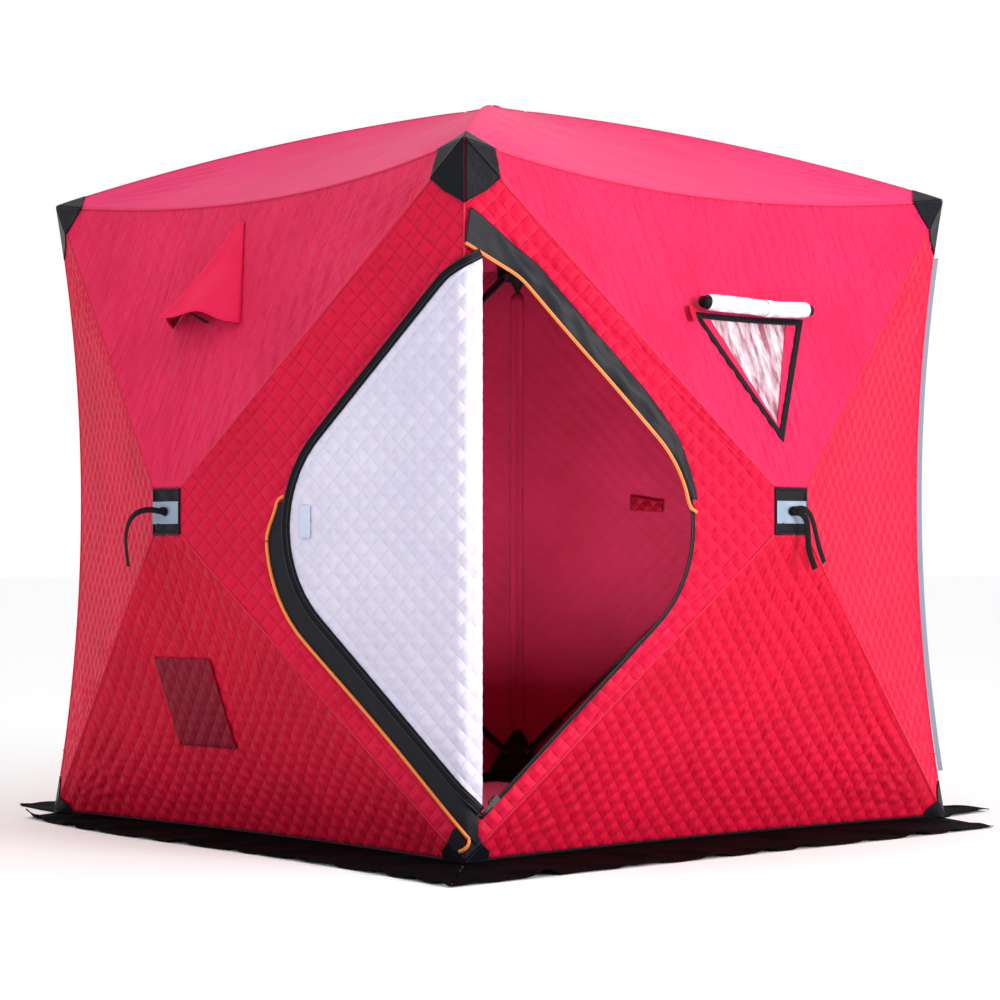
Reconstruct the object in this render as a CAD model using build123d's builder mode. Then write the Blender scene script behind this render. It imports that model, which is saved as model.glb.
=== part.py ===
from build123d import *
import math
import os

# A pop-up ice fishing shelter: four quilted walls and a roof, each pushed out by a hub
# with four poles that run to the corners. The tent stands on the XY plane, its axis is Z,
# the door wall faces +X and the wall with the vent faces -Y. All lengths are millimetres.

os.makedirs("parts", exist_ok=True)

# ---------------------------------------------------------------- driving dimensions

HALF = 900                 # half the side of the square footprint
BASE_Z = 30                # height of the walls' hem above the ground
EAVE_Z = 1755              # height of the four top corners
ROOF_Z = 2018              # height of the small flat top under the roof hub
HUB_Z = 860                # height of the wall hubs
HUB_OUT = 1140             # distance of a popped-out wall hub from the tent's axis
FABRIC = 4                 # thickness of the quilted cloth
SEAM = 0.3                 # space left along a sewn seam
PATCH_HALF = 62            # half the square left open in the cloth for a hub

CORNER_BOW = 75            # how far a corner edge is drawn in at its middle
DOOR_CORNER_BOW = 20       # the same at the corner that carries the door
EAVE_SAG = 60              # how far an eave drops, and draws in, at its middle
HEM_PULL = 50              # how far a hem is drawn in at its middle

SKIRT_OUT = 1210           # reach of the skirt's tips from the tent's axis
SKIRT_MID_OUT = 1170       # reach of the skirt at a wall's middle
SKIRT_TIP = 850            # where a free skirt tip starts to round, along the wall
SKIRT_THICK = 3
PLATE_LIFT = 1.5           # the corner patches stand this far off the cloth
PLATE_THICK = 2

PIVOT_RADIUS = 26          # circle of a hub's four pole pivots
PIVOT_DEPTH = 22           # from the outer face of the hub patch in to the pivots
HUB_RADIUS = 34
HUB_THICK = 32
PATCH_THICK = 4
PATCH_GAP = 2
SLOT_WIDTH = 10.6
SLOT_START = 16
PIN_RADIUS = 3
PIN_HALF = 15
TONGUE_RADIUS = 7
TONGUE_HALF = 5
RUN_CLEAR = 0.06           # running clearance of a pole's eye on its pin
HELD_CLEAR = 0.02          # clearance of a pin in its hub

TIP_OUT = 855              # a wall pole's tip: distance from the tent's axis,
TIP_ALONG = 810            # place along the wall
TIP_TOP_Z = 1665           # and height, at the top
TIP_BASE_Z = 95            # and at the bottom
ROOF_TIP_Z = 1708
ROD_RADIUS = 5.5
SOCKET_RADIUS = 9
SOCKET_START = 16
SOCKET_END = 60
BOOT_RADIUS = 12
BOOT_LENGTH = 170
JOIN_GAP = 0.2             # between a rod and the fitting on its end

CUP_OUT = 880              # outer corner of the cups that the pole tips sit in
CUP_TOP_Z = 1735
CUP_LEG = 90
CUP_WALL = 4

DOOR_FOLD = 45             # from the corner edge to the line the door folds on
DOOR_LOW_Z = 103           # the opening's outline: its low end on that line,
DOOR_REACH = 790           # the point of its V, before rounding,
DOOR_REACH_Z = 810
DOOR_SHOULDER = 160        # the knee near its top,
DOOR_SHOULDER_Z = 1440
DOOR_TOP_Z = 1500          # and its top end on the fold line
DOOR_ROUND = 340
SHOULDER_ROUND = 200
DOOR_LIFT = 8.5            # mid-plane of the folded-back door above the cloth it lies on
DOOR_THICK = 3
DOOR_EDGE = 6              # the door is this much smaller than its opening
ZIP_WIDTH = 20
FLAP_REACH = 55            # the door's storm flap past the door's edge
FLAP_LAP = 10
WALL_FLAP_OUT = 50         # the wall's storm flap, from its sewn edge to the opening
WALL_FLAP_IN = 15          # and from there over the opening
FLAP_THICK = 2
PIPING = 6
WALL_ZIP_WIDTH = 10
FLAP_SPLIT_Z = 890         # the wall's flap lies above this height, the door's below

WINDOW_S = 20              # the window's middle line, along the door wall
WINDOW_TOP = 480           # its hook tape: top edge and tip, up the slope from the hub patch,
WINDOW_TIP = 124
WINDOW_HALF = 209          # and half its top width
WINDOW_TAPE = 11
PANE_TOP = 474
PANE_TIP = 176
PANE_HALF = 147
ROLL_RADIUS = 24
ROLL_HALF = 205
ROLL_SLOPE = 508

VENT_S = -50               # the vent's middle line, along the vent wall
VENT_LIP = 452             # its mouth and its apex, up the slope from the hub patch
VENT_APEX = 768
VENT_HALF = 150
VENT_RISE = 105
VENT_SKIN = 3
VENT_LIFT = 7              # the hood's edges stand this far off the slope, clear of the curved cloth
PROP_SLOPE = 470
PROP_LENGTH = 76
PROP_LIFT = 6

STRAP_RADIUS = 3
STUD_RADIUS = 11
STUD_HEIGHT = 4

WALLS = {"door_wall": 0, "right_wall": 90, "back_wall": 180, "vent_wall": -90}
POLE_ENDS = {
    "top_left": (-TIP_ALONG, TIP_TOP_Z),
    "top_right": (TIP_ALONG, TIP_TOP_Z),
    "bottom_left": (-TIP_ALONG, TIP_BASE_Z),
    "bottom_right": (TIP_ALONG, TIP_BASE_Z),
}
ROOF_POLE_ENDS = {"door": (1, -1), "right": (1, 1), "back": (-1, 1), "left": (-1, -1)}

# ---------------------------------------------------------------- derived dimensions

CORNER_RADIUS = HALF * math.sqrt(2)
MID_Z = (BASE_Z + EAVE_Z) / 2
EAVE_DROP = EAVE_SAG * math.sqrt(2)
EAVE_DEPTH = FABRIC * math.sqrt(2)
BULGE = HUB_OUT - HALF
PANEL_RUN = HALF - PATCH_HALF
PANEL_TURN = math.degrees(math.atan2(BULGE, PANEL_RUN))
TOP_RUN = HUB_OUT - (HALF - EAVE_SAG)
TOP_RISE = EAVE_Z - EAVE_SAG - (HUB_Z + PATCH_HALF)

# ---------------------------------------------------------------- placing things


def spun(turn, x, y, z):
    """A point or direction of the door wall, carried round to the wall at this turn."""
    return Vector(x, y, z).rotate(Axis.Z, turn)


def wall_plane(turn, origin, x_dir, z_dir):
    """A plane given for the door wall, carried round to the wall at this turn."""
    return Plane(origin=spun(turn, *origin), x_dir=spun(turn, *x_dir), z_dir=spun(turn, *z_dir))


def hub_plane(turn):
    """Outer face of a wall's hub patch: x along the wall, y up, z outward."""
    return wall_plane(turn, (HUB_OUT, 0, HUB_Z), (0, 1, 0), (1, 0, 0))


def slope_plane(turn):
    """Middle of a wall's top panel: x along the wall, y up the slope from the hub patch."""
    return wall_plane(turn, (HUB_OUT, 0, HUB_Z + PATCH_HALF), (0, 1, 0), (TOP_RISE, 0, TOP_RUN))


def diagonal_plane(turn, side):
    """Upright plane through a wall's corner: x out from the tent's axis, y up."""
    return wall_plane(turn, (0, 0, 0), (1, side, 0), (side, -1, 0))


ROOF_HUB_PLANE = Plane(origin=(0, 0, ROOF_Z), x_dir=(1, 0, 0), z_dir=(0, 0, 1))

# The door's parts are all drawn in the closed door's own terms, u along the wall from the
# corner edge and z up. Open, the door is folded back round the corner in two flat
# lengths: a narrow strip over the corner's edge of the door wall, then the leaf itself
# on the vent wall.
CORNER = Vector(HALF, -HALF, 0)
DOOR_ALONG = Vector(BULGE, PANEL_RUN, 0).normalized()
DOOR_OUT = Vector(PANEL_RUN, -BULGE, 0).normalized()
VENT_ALONG = Vector(-PANEL_RUN, -BULGE, 0).normalized()
VENT_OUT = Vector(BULGE, -PANEL_RUN, 0).normalized()
HINGE_POINT = CORNER + DOOR_ALONG * DOOR_FOLD + DOOR_OUT * DOOR_LIFT
FOLD_TURN = 90 - 2 * PANEL_TURN
FOLD_POINT = CORNER + Vector(1, -1, 0).normalized() * (DOOR_LIFT / math.cos(math.radians(FOLD_TURN / 2)))
STRIP_WIDTH = (HINGE_POINT - FOLD_POINT).length
LEAF_START = DOOR_FOLD + STRIP_WIDTH

DOOR_PLANE = Plane(origin=CORNER, x_dir=DOOR_ALONG, z_dir=DOOR_OUT)
STRIP_PLANE = Plane(origin=HINGE_POINT + DOOR_ALONG * DOOR_FOLD, x_dir=-DOOR_ALONG, z_dir=-DOOR_OUT)
LEAF_PLANE = Plane(origin=FOLD_POINT - VENT_ALONG * LEAF_START, x_dir=VENT_ALONG, z_dir=-VENT_OUT)


def bow_at(offset, half_chord, bow):
    """How far an arc stands off its chord, at an offset from the chord's middle."""
    radius = (half_chord**2 + bow**2) / (2 * bow)
    return bow - radius + math.sqrt(radius**2 - offset**2)


# ---------------------------------------------------------------- cloth panels


def corner_section(plane, bow):
    """Section of a side panel where it meets its neighbour on the corner edge."""
    inset = FABRIC * math.sqrt(2)
    with BuildSketch(plane) as section:
        with BuildLine():
            outer = ThreePointArc(
                (CORNER_RADIUS, BASE_Z + SEAM), (CORNER_RADIUS - bow, MID_Z), (CORNER_RADIUS, EAVE_Z - SEAM)
            )
            inner = ThreePointArc(
                (CORNER_RADIUS - inset, BASE_Z + SEAM),
                (CORNER_RADIUS - inset - bow, MID_Z),
                (CORNER_RADIUS - inset, EAVE_Z - FABRIC - SEAM),
            )
            Line(outer @ 0, inner @ 0)
            Line(outer @ 1, inner @ 1)
        make_face()
    return section.sketch


def edge_section(plane, drop, depth, trim=0.0):
    """Section of a panel along an eave or a hem, x along the edge and y outward."""
    end = HALF - trim
    with BuildSketch(plane) as section:
        with BuildLine():
            outer = ThreePointArc((-end, 0), (0, -drop), (end, 0))
            inner = ThreePointArc((-end + FABRIC, -depth), (0, -drop - depth), (end - FABRIC, -depth))
            Line(outer @ 0, inner @ 0)
            Line(outer @ 1, inner @ 1)
        make_face()
    return section.sketch


def patch_section(plane, x_from, x_to, y_from, y_to):
    """Section of a panel along one side of the opening for the hub."""
    with BuildSketch(plane) as section:
        with BuildLine():
            Polyline((x_from, y_from), (x_from, y_to), (x_to, y_to), (x_to, y_from), close=True)
        make_face()
    return section.sketch


def eave_plane(turn):
    """The mitre between a wall and the roof: x along the eave, y outward."""
    return wall_plane(turn, (HALF, 0, EAVE_Z), (0, 1, 0), (1, 0, -1))


def level_plane(turn, out, height):
    """A level plane at a height: x along the wall, y outward."""
    return wall_plane(turn, (out, 0, height), (0, 1, 0), (0, 0, -1))


def side_panel(turn, side, bow):
    """Side triangle of a wall, from the corner edge to the hub."""
    reach = PATCH_HALF - SEAM
    beside_patch = wall_plane(turn, (0, side * PATCH_HALF, 0), (1, 0, 0), (0, -1, 0))
    corner_edge = corner_section(diagonal_plane(turn, side), bow)
    patch_edge = patch_section(beside_patch, HUB_OUT, HUB_OUT - FABRIC, HUB_Z - reach, HUB_Z + reach)
    loft(sections=[corner_edge, patch_edge], ruled=True)


def top_panel(turn):
    """Top triangle of a wall, from the eave to the hub."""
    eave = edge_section(eave_plane(turn), EAVE_DROP, EAVE_DEPTH)
    above_patch = level_plane(turn, HUB_OUT, HUB_Z + PATCH_HALF)
    loft(sections=[eave, patch_section(above_patch, -PATCH_HALF, PATCH_HALF, -FABRIC, 0)], ruled=True)


def bottom_panel(turn):
    """Bottom triangle of a wall, from the hem to the hub."""
    hem = edge_section(level_plane(turn, HALF, BASE_Z), HEM_PULL, FABRIC)
    below_patch = level_plane(turn, HUB_OUT, HUB_Z - PATCH_HALF)
    loft(sections=[hem, patch_section(below_patch, -PATCH_HALF, PATCH_HALF, -FABRIC, 0)], ruled=True)


def roof_panel(turn, trim):
    """Roof triangle over one wall, from the eave to the roof hub."""
    eave = edge_section(eave_plane(turn), EAVE_DROP, EAVE_DEPTH, trim)
    beside_patch = wall_plane(turn, (PATCH_HALF, 0, ROOF_Z), (0, 1, 0), (1, 0, 0))
    reach = PATCH_HALF - trim
    loft(sections=[eave, patch_section(beside_patch, -reach, reach, -FABRIC, 0)], ruled=True)


def wall_panels(turn, left_bow=CORNER_BOW, right_bow=CORNER_BOW):
    """The four triangles of a wall, left and right as seen from outside."""
    top_panel(turn)
    bottom_panel(turn)
    side_panel(turn, 1, right_bow)
    side_panel(turn, -1, left_bow)


def door_shape(grow, u_from, z_from=-500, z_to=2500):
    """The door opening's D outline grown by an amount, from one u on and between two heights."""
    low_slope = (DOOR_REACH_Z - DOOR_LOW_Z) / (DOOR_REACH - DOOR_FOLD)
    top_slope = (DOOR_TOP_Z - DOOR_SHOULDER_Z) / (DOOR_SHOULDER - DOOR_FOLD)
    past = 200
    with BuildSketch(Plane.XY) as shape:
        with BuildLine():
            bend = FilletPolyline(
                (DOOR_FOLD - past, DOOR_LOW_Z - past * low_slope),
                (DOOR_REACH, DOOR_REACH_Z),
                (DOOR_SHOULDER, DOOR_SHOULDER_Z),
                (DOOR_FOLD - past, DOOR_TOP_Z + past * top_slope),
                radius=[DOOR_ROUND, SHOULDER_ROUND],
            )
            Line(bend @ 1, bend @ 0)
        make_face()
        if grow:
            offset(amount=grow, kind=Kind.INTERSECTION)
        with Locations((u_from, z_from)):
            Rectangle(2000, z_to - z_from, align=(Align.MIN, Align.MIN), mode=Mode.INTERSECT)
    return shape.sketch


def door_band(grow_out, grow_in, u_from, z_from=-500, z_to=2500):
    """The band between two outlines of the door, drawn in the current sketch."""
    add(door_shape(grow_out, u_from, z_from, z_to))
    add(door_shape(grow_in, u_from - 1, z_from - 1, z_to + 1), mode=Mode.SUBTRACT)


with BuildPart() as roof_panels:
    roof_panel(0, SEAM)
    roof_panel(90, 0)
    roof_panel(180, SEAM)
    roof_panel(270, 0)

with BuildPart() as door_wall_panels:
    wall_panels(WALLS["door_wall"], left_bow=DOOR_CORNER_BOW)
    with BuildSketch(DOOR_PLANE):
        add(door_shape(0, DOOR_FOLD))
    extrude(amount=60, both=True, mode=Mode.SUBTRACT)
    with BuildSketch(slope_plane(WALLS["door_wall"])):
        with BuildLine():
            Polyline(
                (WINDOW_S - PANE_HALF, PANE_TOP),
                (WINDOW_S + PANE_HALF, PANE_TOP),
                (WINDOW_S, PANE_TIP),
                close=True,
            )
        make_face()
    extrude(amount=40, both=True, mode=Mode.SUBTRACT)

with BuildPart() as right_wall_panels:
    wall_panels(WALLS["right_wall"])

with BuildPart() as back_wall_panels:
    wall_panels(WALLS["back_wall"])

with BuildPart() as vent_wall_panels:
    wall_panels(WALLS["vent_wall"], right_bow=DOOR_CORNER_BOW)
    with BuildSketch(slope_plane(WALLS["vent_wall"])):
        with Locations((VENT_S, (VENT_LIP + VENT_APEX) / 2 - 30)):
            Ellipse(80, 55)
    extrude(amount=40, both=True, mode=Mode.SUBTRACT)


def skirt_flap(turn, left_square, right_square):
    """One wall's length of skirt: a riser under the hem and a flap lying on the ground."""
    inner_end = HALF - FABRIC - SEAM
    left_tip = SKIRT_OUT - SEAM if left_square else SKIRT_TIP
    right_tip = SKIRT_OUT - SEAM if right_square else SKIRT_TIP
    with BuildSketch(wall_plane(turn, (0, 0, 0), (1, 0, 0), (0, 0, 1))) as flap:
        with BuildLine():
            inner = ThreePointArc(
                (HALF - FABRIC, -inner_end), (HALF - HEM_PULL - FABRIC, 0), (HALF - FABRIC, inner_end)
            )
            Line(inner @ 1, (SKIRT_OUT, right_tip))
            ThreePointArc((SKIRT_OUT, right_tip), (SKIRT_MID_OUT, 0), (SKIRT_OUT, -left_tip))
            Line((SKIRT_OUT, -left_tip), inner @ 0)
        make_face()
    extrude(flap.sketch, amount=SKIRT_THICK)
    riser = edge_section(level_plane(turn, HALF, BASE_Z), HEM_PULL, FABRIC, SEAM)
    extrude(riser, amount=BASE_Z, dir=(0, 0, -1))


with BuildPart() as snow_skirt:
    skirt_flap(WALLS["door_wall"], True, False)
    skirt_flap(WALLS["right_wall"], False, False)
    skirt_flap(WALLS["back_wall"], False, False)
    skirt_flap(WALLS["vent_wall"], False, True)


def cloth_plate(corner, second, third, outward):
    """A flat three-cornered patch that lies just off the cloth."""
    normal = (second - corner).cross(third - corner).normalized()
    if normal.dot(outward) < 0:
        normal = -normal
    plane = Plane(origin=corner + normal * PLATE_LIFT, x_dir=second - corner, z_dir=normal)
    local = [plane.to_local_coords(point + normal * PLATE_LIFT) for point in (corner, second, third)]
    with BuildSketch(plane) as plate:
        with BuildLine():
            Polyline(*[(point.X, point.Y) for point in local], close=True)
        make_face()
    extrude(plate.sketch, amount=PLATE_THICK, dir=normal)


def corner_patch(turn, side, bow):
    """The black patches of one wall's half of a corner: on the wall, the roof and the foot."""
    half_height = (EAVE_Z - BASE_Z) / 2
    edge_down, eave_in, hip_in, edge_up, hem_in = 155, 110, 80, 100, 85
    outward = spun(turn, 1, 0, 0)

    top = spun(turn, HALF, side * HALF, EAVE_Z)
    drawn = bow_at(half_height - edge_down, half_height, bow) / math.sqrt(2)
    edge_point = spun(turn, HALF - drawn, side * (HALF - drawn), EAVE_Z - edge_down)
    sag = bow_at(HALF - eave_in, HALF, EAVE_DROP) / math.sqrt(2)
    eave_point = spun(turn, HALF - sag, side * (HALF - eave_in), EAVE_Z - sag)
    top_seam = top + (spun(turn, HUB_OUT, side * PATCH_HALF, HUB_Z + PATCH_HALF) - top).normalized() * 115
    cloth_plate(top, edge_point, top_seam, outward)
    cloth_plate(top, top_seam, eave_point, outward)

    hip_z = EAVE_Z + hip_in * (ROOF_Z - EAVE_Z) / PANEL_RUN
    hip_point = spun(turn, HALF - hip_in, side * (HALF - hip_in), hip_z)
    cloth_plate(top, eave_point, hip_point, Vector(0, 0, 1))

    foot = spun(turn, HALF, side * HALF, BASE_Z)
    drawn_low = bow_at(half_height - edge_up, half_height, bow) / math.sqrt(2)
    foot_edge = spun(turn, HALF - drawn_low, side * (HALF - drawn_low), BASE_Z + edge_up)
    hem_point = spun(turn, HALF - bow_at(HALF - hem_in, HALF, HEM_PULL), side * (HALF - hem_in), BASE_Z)
    foot_seam = foot + (spun(turn, HUB_OUT, side * PATCH_HALF, HUB_Z - PATCH_HALF) - foot).normalized() * 64
    cloth_plate(foot, foot_edge, foot_seam, outward)
    cloth_plate(foot, foot_seam, hem_point, outward)


with BuildPart() as corner_patches:
    for name, turn in WALLS.items():
        corner_patch(turn, 1, DOOR_CORNER_BOW if name == "vent_wall" else CORNER_BOW)
        corner_patch(turn, -1, DOOR_CORNER_BOW if name == "door_wall" else CORNER_BOW)

with BuildPart() as corner_cups:
    for centre_z, inner_shift in ((CUP_TOP_Z - CUP_LEG / 2, -CUP_WALL), (CUP_LEG / 2, CUP_WALL)):
        for side_x in (-1, 1):
            for side_y in (-1, 1):
                middle = CUP_OUT - CUP_LEG / 2
                with Locations((side_x * middle, side_y * middle, centre_z)):
                    Box(CUP_LEG, CUP_LEG, CUP_LEG)
                inside = middle - CUP_WALL
                with Locations((side_x * inside, side_y * inside, centre_z + inner_shift)):
                    Box(CUP_LEG, CUP_LEG, CUP_LEG, mode=Mode.SUBTRACT)

with BuildPart() as reflective_edge:
    with BuildSketch(diagonal_plane(WALLS["door_wall"], 1)):
        with BuildLine():
            near = ThreePointArc(
                (CORNER_RADIUS + 2, BASE_Z),
                (CORNER_RADIUS + 2 - CORNER_BOW, MID_Z),
                (CORNER_RADIUS + 2, EAVE_Z),
            )
            far = ThreePointArc(
                (CORNER_RADIUS + 16, BASE_Z),
                (CORNER_RADIUS + 16 - CORNER_BOW, MID_Z),
                (CORNER_RADIUS + 16, EAVE_Z),
            )
            Line(near @ 0, far @ 0)
            Line(near @ 1, far @ 1)
        make_face()
        with Locations((CORNER_RADIUS, 135)):
            Rectangle(400, 1455, align=(Align.CENTER, Align.MIN), mode=Mode.INTERSECT)
    extrude(amount=1.2, both=True)

# ---------------------------------------------------------------- door

with BuildPart() as door_edge_strip:
    with BuildSketch(STRIP_PLANE):
        add(door_shape(-DOOR_EDGE, DOOR_FOLD + 1))
        with Locations((LEAF_START - 1, -500)):
            Rectangle(2000, 3000, align=(Align.MIN, Align.MIN), mode=Mode.SUBTRACT)
    extrude(amount=DOOR_THICK / 2, both=True)

with BuildPart() as door_panel:
    with BuildSketch(LEAF_PLANE):
        add(door_shape(-DOOR_EDGE - ZIP_WIDTH, LEAF_START + 1))
    extrude(amount=DOOR_THICK / 2, both=True)

with BuildPart() as door_zip_tape:
    with BuildSketch(LEAF_PLANE):
        door_band(-DOOR_EDGE, -DOOR_EDGE - ZIP_WIDTH, LEAF_START + 1)
    extrude(amount=1, both=True)

with BuildPart() as door_storm_flap:
    with BuildSketch(LEAF_PLANE.offset(4)):
        door_band(FLAP_REACH - DOOR_EDGE, -DOOR_EDGE - FLAP_LAP, LEAF_START + 5, 40, FLAP_SPLIT_Z)
    extrude(amount=FLAP_THICK / 2, both=True)

with BuildPart() as door_flap_piping:
    with BuildSketch(LEAF_PLANE.offset(4)):
        reach = FLAP_REACH - DOOR_EDGE
        door_band(reach + PIPING, reach, LEAF_START + 5, 150, FLAP_SPLIT_Z)
    extrude(amount=PIPING / 3, both=True)

with BuildPart() as wall_storm_flap:
    with BuildSketch(DOOR_PLANE.offset(FLAP_THICK)):
        door_band(WALL_FLAP_OUT, -WALL_FLAP_IN, DOOR_FOLD, FLAP_SPLIT_Z, 2000)
    extrude(amount=FLAP_THICK / 2, both=True)

with BuildPart() as wall_flap_piping:
    with BuildSketch(DOOR_PLANE.offset(FLAP_THICK)):
        door_band(-WALL_FLAP_IN, -WALL_FLAP_IN - PIPING, DOOR_FOLD, FLAP_SPLIT_Z, 2000)
    extrude(amount=PIPING / 3, both=True)

with BuildPart() as wall_zip_tape:
    with BuildSketch(DOOR_PLANE.offset(-2)):
        door_band(-SEAM, -WALL_ZIP_WIDTH, DOOR_FOLD + 4)
    extrude(amount=1, both=True)

LOW_ALONG = Vector(DOOR_REACH - DOOR_FOLD, DOOR_REACH_Z - DOOR_LOW_Z, 0).normalized()
LOW_INWARD = Vector(-LOW_ALONG.Y, LOW_ALONG.X, 0)
SLIDER_START = 60          # the parked slider, along the zip from the fold line
SLIDER_ORIGIN = (
    Vector(DOOR_FOLD, DOOR_LOW_Z, 0) + LOW_ALONG * SLIDER_START + LOW_INWARD * (WALL_ZIP_WIDTH + 2)
)
ZIP_DIRECTION = DOOR_ALONG * LOW_ALONG.X + Vector(0, 0, LOW_ALONG.Y)
SLIDER_PLANE = Plane(
    origin=DOOR_PLANE.offset(-2).from_local_coords(SLIDER_ORIGIN), x_dir=ZIP_DIRECTION, z_dir=DOOR_OUT
)

with BuildPart() as zip_slider:
    with BuildSketch(SLIDER_PLANE.offset(-4)):
        RectangleRounded(30, 16, 4)
    extrude(amount=9)
    with BuildSketch(SLIDER_PLANE.offset(-1.6)):
        for side in (-1, 1):
            with Locations((0, side * 6)):
                Rectangle(40, 9, mode=Mode.ADD)
    extrude(amount=3.2, mode=Mode.SUBTRACT)
    with BuildSketch(SLIDER_PLANE.offset(5)):
        with Locations((-16, 0)):
            SlotOverall(38, 9)
        with Locations((-30, 0)):
            Circle(2.2, mode=Mode.SUBTRACT)
    extrude(amount=1.4)

# ---------------------------------------------------------------- window

with BuildPart() as window_pane:
    with BuildSketch(slope_plane(WALLS["door_wall"]).offset(-2)):
        with BuildLine():
            Polyline(
                (WINDOW_S - PANE_HALF + 3, PANE_TOP - 1.5),
                (WINDOW_S + PANE_HALF - 3, PANE_TOP - 1.5),
                (WINDOW_S, PANE_TIP + 4),
                close=True,
            )
        make_face()
    extrude(amount=1)

with BuildPart() as window_tape:
    with BuildSketch(slope_plane(WALLS["door_wall"]).offset(8.6)):
        with BuildLine():
            Polyline(
                (WINDOW_S - WINDOW_HALF, WINDOW_TOP),
                (WINDOW_S + WINDOW_HALF, WINDOW_TOP),
                (WINDOW_S, WINDOW_TIP),
                close=True,
            )
        make_face()
        offset(amount=-WINDOW_TAPE, kind=Kind.INTERSECTION, mode=Mode.SUBTRACT)
    extrude(amount=2)

with BuildPart() as window_cover_roll:
    roll_face = slope_plane(WALLS["door_wall"]).offset(ROLL_RADIUS + 11)
    roll_start = roll_face.from_local_coords(Vector(WINDOW_S - ROLL_HALF, ROLL_SLOPE, 0))
    with BuildSketch(Plane(origin=roll_start, x_dir=(0, 0, 1), z_dir=(0, 1, 0))):
        Circle(ROLL_RADIUS)
    extrude(amount=2 * ROLL_HALF)
    fillet(window_cover_roll.edges().filter_by(GeomType.CIRCLE), 6)

# ---------------------------------------------------------------- vent


def hood_section(plane, half_width, rise):
    """Section of the vent's hood across the slope: x along the wall, y outward."""
    with BuildSketch(plane) as section:
        with BuildLine():
            outer = ThreePointArc((-half_width, 0), (0, rise), (half_width, 0))
            inner = ThreePointArc(
                (-half_width + VENT_SKIN, 0), (0, rise - VENT_SKIN), (half_width - VENT_SKIN, 0)
            )
            Line(outer @ 0, inner @ 0)
            Line(outer @ 1, inner @ 1)
        make_face()
    return section.sketch


VENT_SLOPE = slope_plane(WALLS["vent_wall"])


def hood_plane(slope):
    """Plane across the vent's hood at a place up the slope."""
    origin = VENT_SLOPE.from_local_coords(Vector(VENT_S, slope, VENT_LIFT))
    return Plane(origin=origin, x_dir=VENT_SLOPE.x_dir, z_dir=-VENT_SLOPE.y_dir)


with BuildPart() as vent_hood:
    apex = hood_section(hood_plane(VENT_APEX), 16, 14)
    mouth = hood_section(hood_plane(VENT_LIP), VENT_HALF, VENT_RISE)
    loft(sections=[apex, mouth], ruled=True)

PROP_PIVOT = VENT_SLOPE.from_local_coords(Vector(VENT_S, PROP_SLOPE, PROP_LIFT))
with BuildPart() as vent_prop:
    with BuildSketch(Plane(origin=PROP_PIVOT, x_dir=VENT_SLOPE.z_dir, z_dir=VENT_SLOPE.x_dir)):
        with Locations((PROP_LENGTH / 2, 0)):
            SlotOverall(PROP_LENGTH, 4)
    extrude(amount=7, both=True)

# ---------------------------------------------------------------- hubs and poles


def pole_frame(plane, along, up, tip):
    """Pivot point, pole direction and hinge axis of the pole from a hub to a tip."""
    length = math.hypot(along, up)
    radial = plane.x_dir * (along / length) + plane.y_dir * (up / length)
    pivot = plane.origin + radial * PIVOT_RADIUS - plane.z_dir * PIVOT_DEPTH
    axis = radial.cross(plane.z_dir)
    return pivot, (tip - pivot).normalized(), axis, (tip - pivot).length


def wall_poles(turn):
    """Pivot, direction, axis and length of a wall's four poles, by corner."""
    plane = hub_plane(turn)
    return {
        corner: pole_frame(plane, along, height - HUB_Z, spun(turn, TIP_OUT, along, height))
        for corner, (along, height) in POLE_ENDS.items()
    }


def roof_poles():
    """The same for the roof's four poles."""
    return {
        corner: pole_frame(
            ROOF_HUB_PLANE,
            x * TIP_ALONG,
            y * TIP_ALONG,
            Vector(x * TIP_ALONG, y * TIP_ALONG, ROOF_TIP_Z),
        )
        for corner, (x, y) in ROOF_POLE_ENDS.items()
    }


def hub_body(plane, poles):
    """A slotted disc that carries four pole pivots."""
    back = plane.offset(-PATCH_THICK - HUB_THICK)
    with BuildSketch(back) as disc:
        Circle(HUB_RADIUS)
    extrude(disc.sketch, amount=HUB_THICK, dir=plane.z_dir)
    for pivot, _, axis, _ in poles.values():
        cut_plane = Plane(
            origin=back.origin - plane.z_dir, x_dir=plane.z_dir.cross(axis), z_dir=plane.z_dir
        )
        with BuildSketch(cut_plane) as slot:
            with Locations((SLOT_START, 0)):
                Rectangle(HUB_RADIUS, SLOT_WIDTH, align=(Align.MIN, Align.CENTER))
        extrude(slot.sketch, amount=HUB_THICK + 2, dir=plane.z_dir, mode=Mode.SUBTRACT)
        with BuildSketch(Plane(origin=pivot, x_dir=plane.z_dir, z_dir=axis)) as bore:
            Circle(PIN_RADIUS + HELD_CLEAR)
        extrude(bore.sketch, amount=PIN_HALF + 0.5, both=True, mode=Mode.SUBTRACT)


def hub_pins(plane, poles):
    """The four pins of a hub."""
    for pivot, _, axis, _ in poles.values():
        with BuildSketch(Plane(origin=pivot, x_dir=plane.z_dir, z_dir=axis)) as pin:
            Circle(PIN_RADIUS)
        extrude(pin.sketch, amount=PIN_HALF, both=True)


def hub_patch(plane):
    """The square patch over a hub, with the stud that its strap comes out of."""
    side = 2 * (PATCH_HALF - PATCH_GAP)
    with BuildSketch(plane) as square:
        Rectangle(side, side)
    extrude(square.sketch, amount=PATCH_THICK, dir=-plane.z_dir)
    with BuildSketch(plane) as stud:
        Circle(STUD_RADIUS)
    extrude(stud.sketch, amount=STUD_HEIGHT, dir=plane.z_dir)


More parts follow.
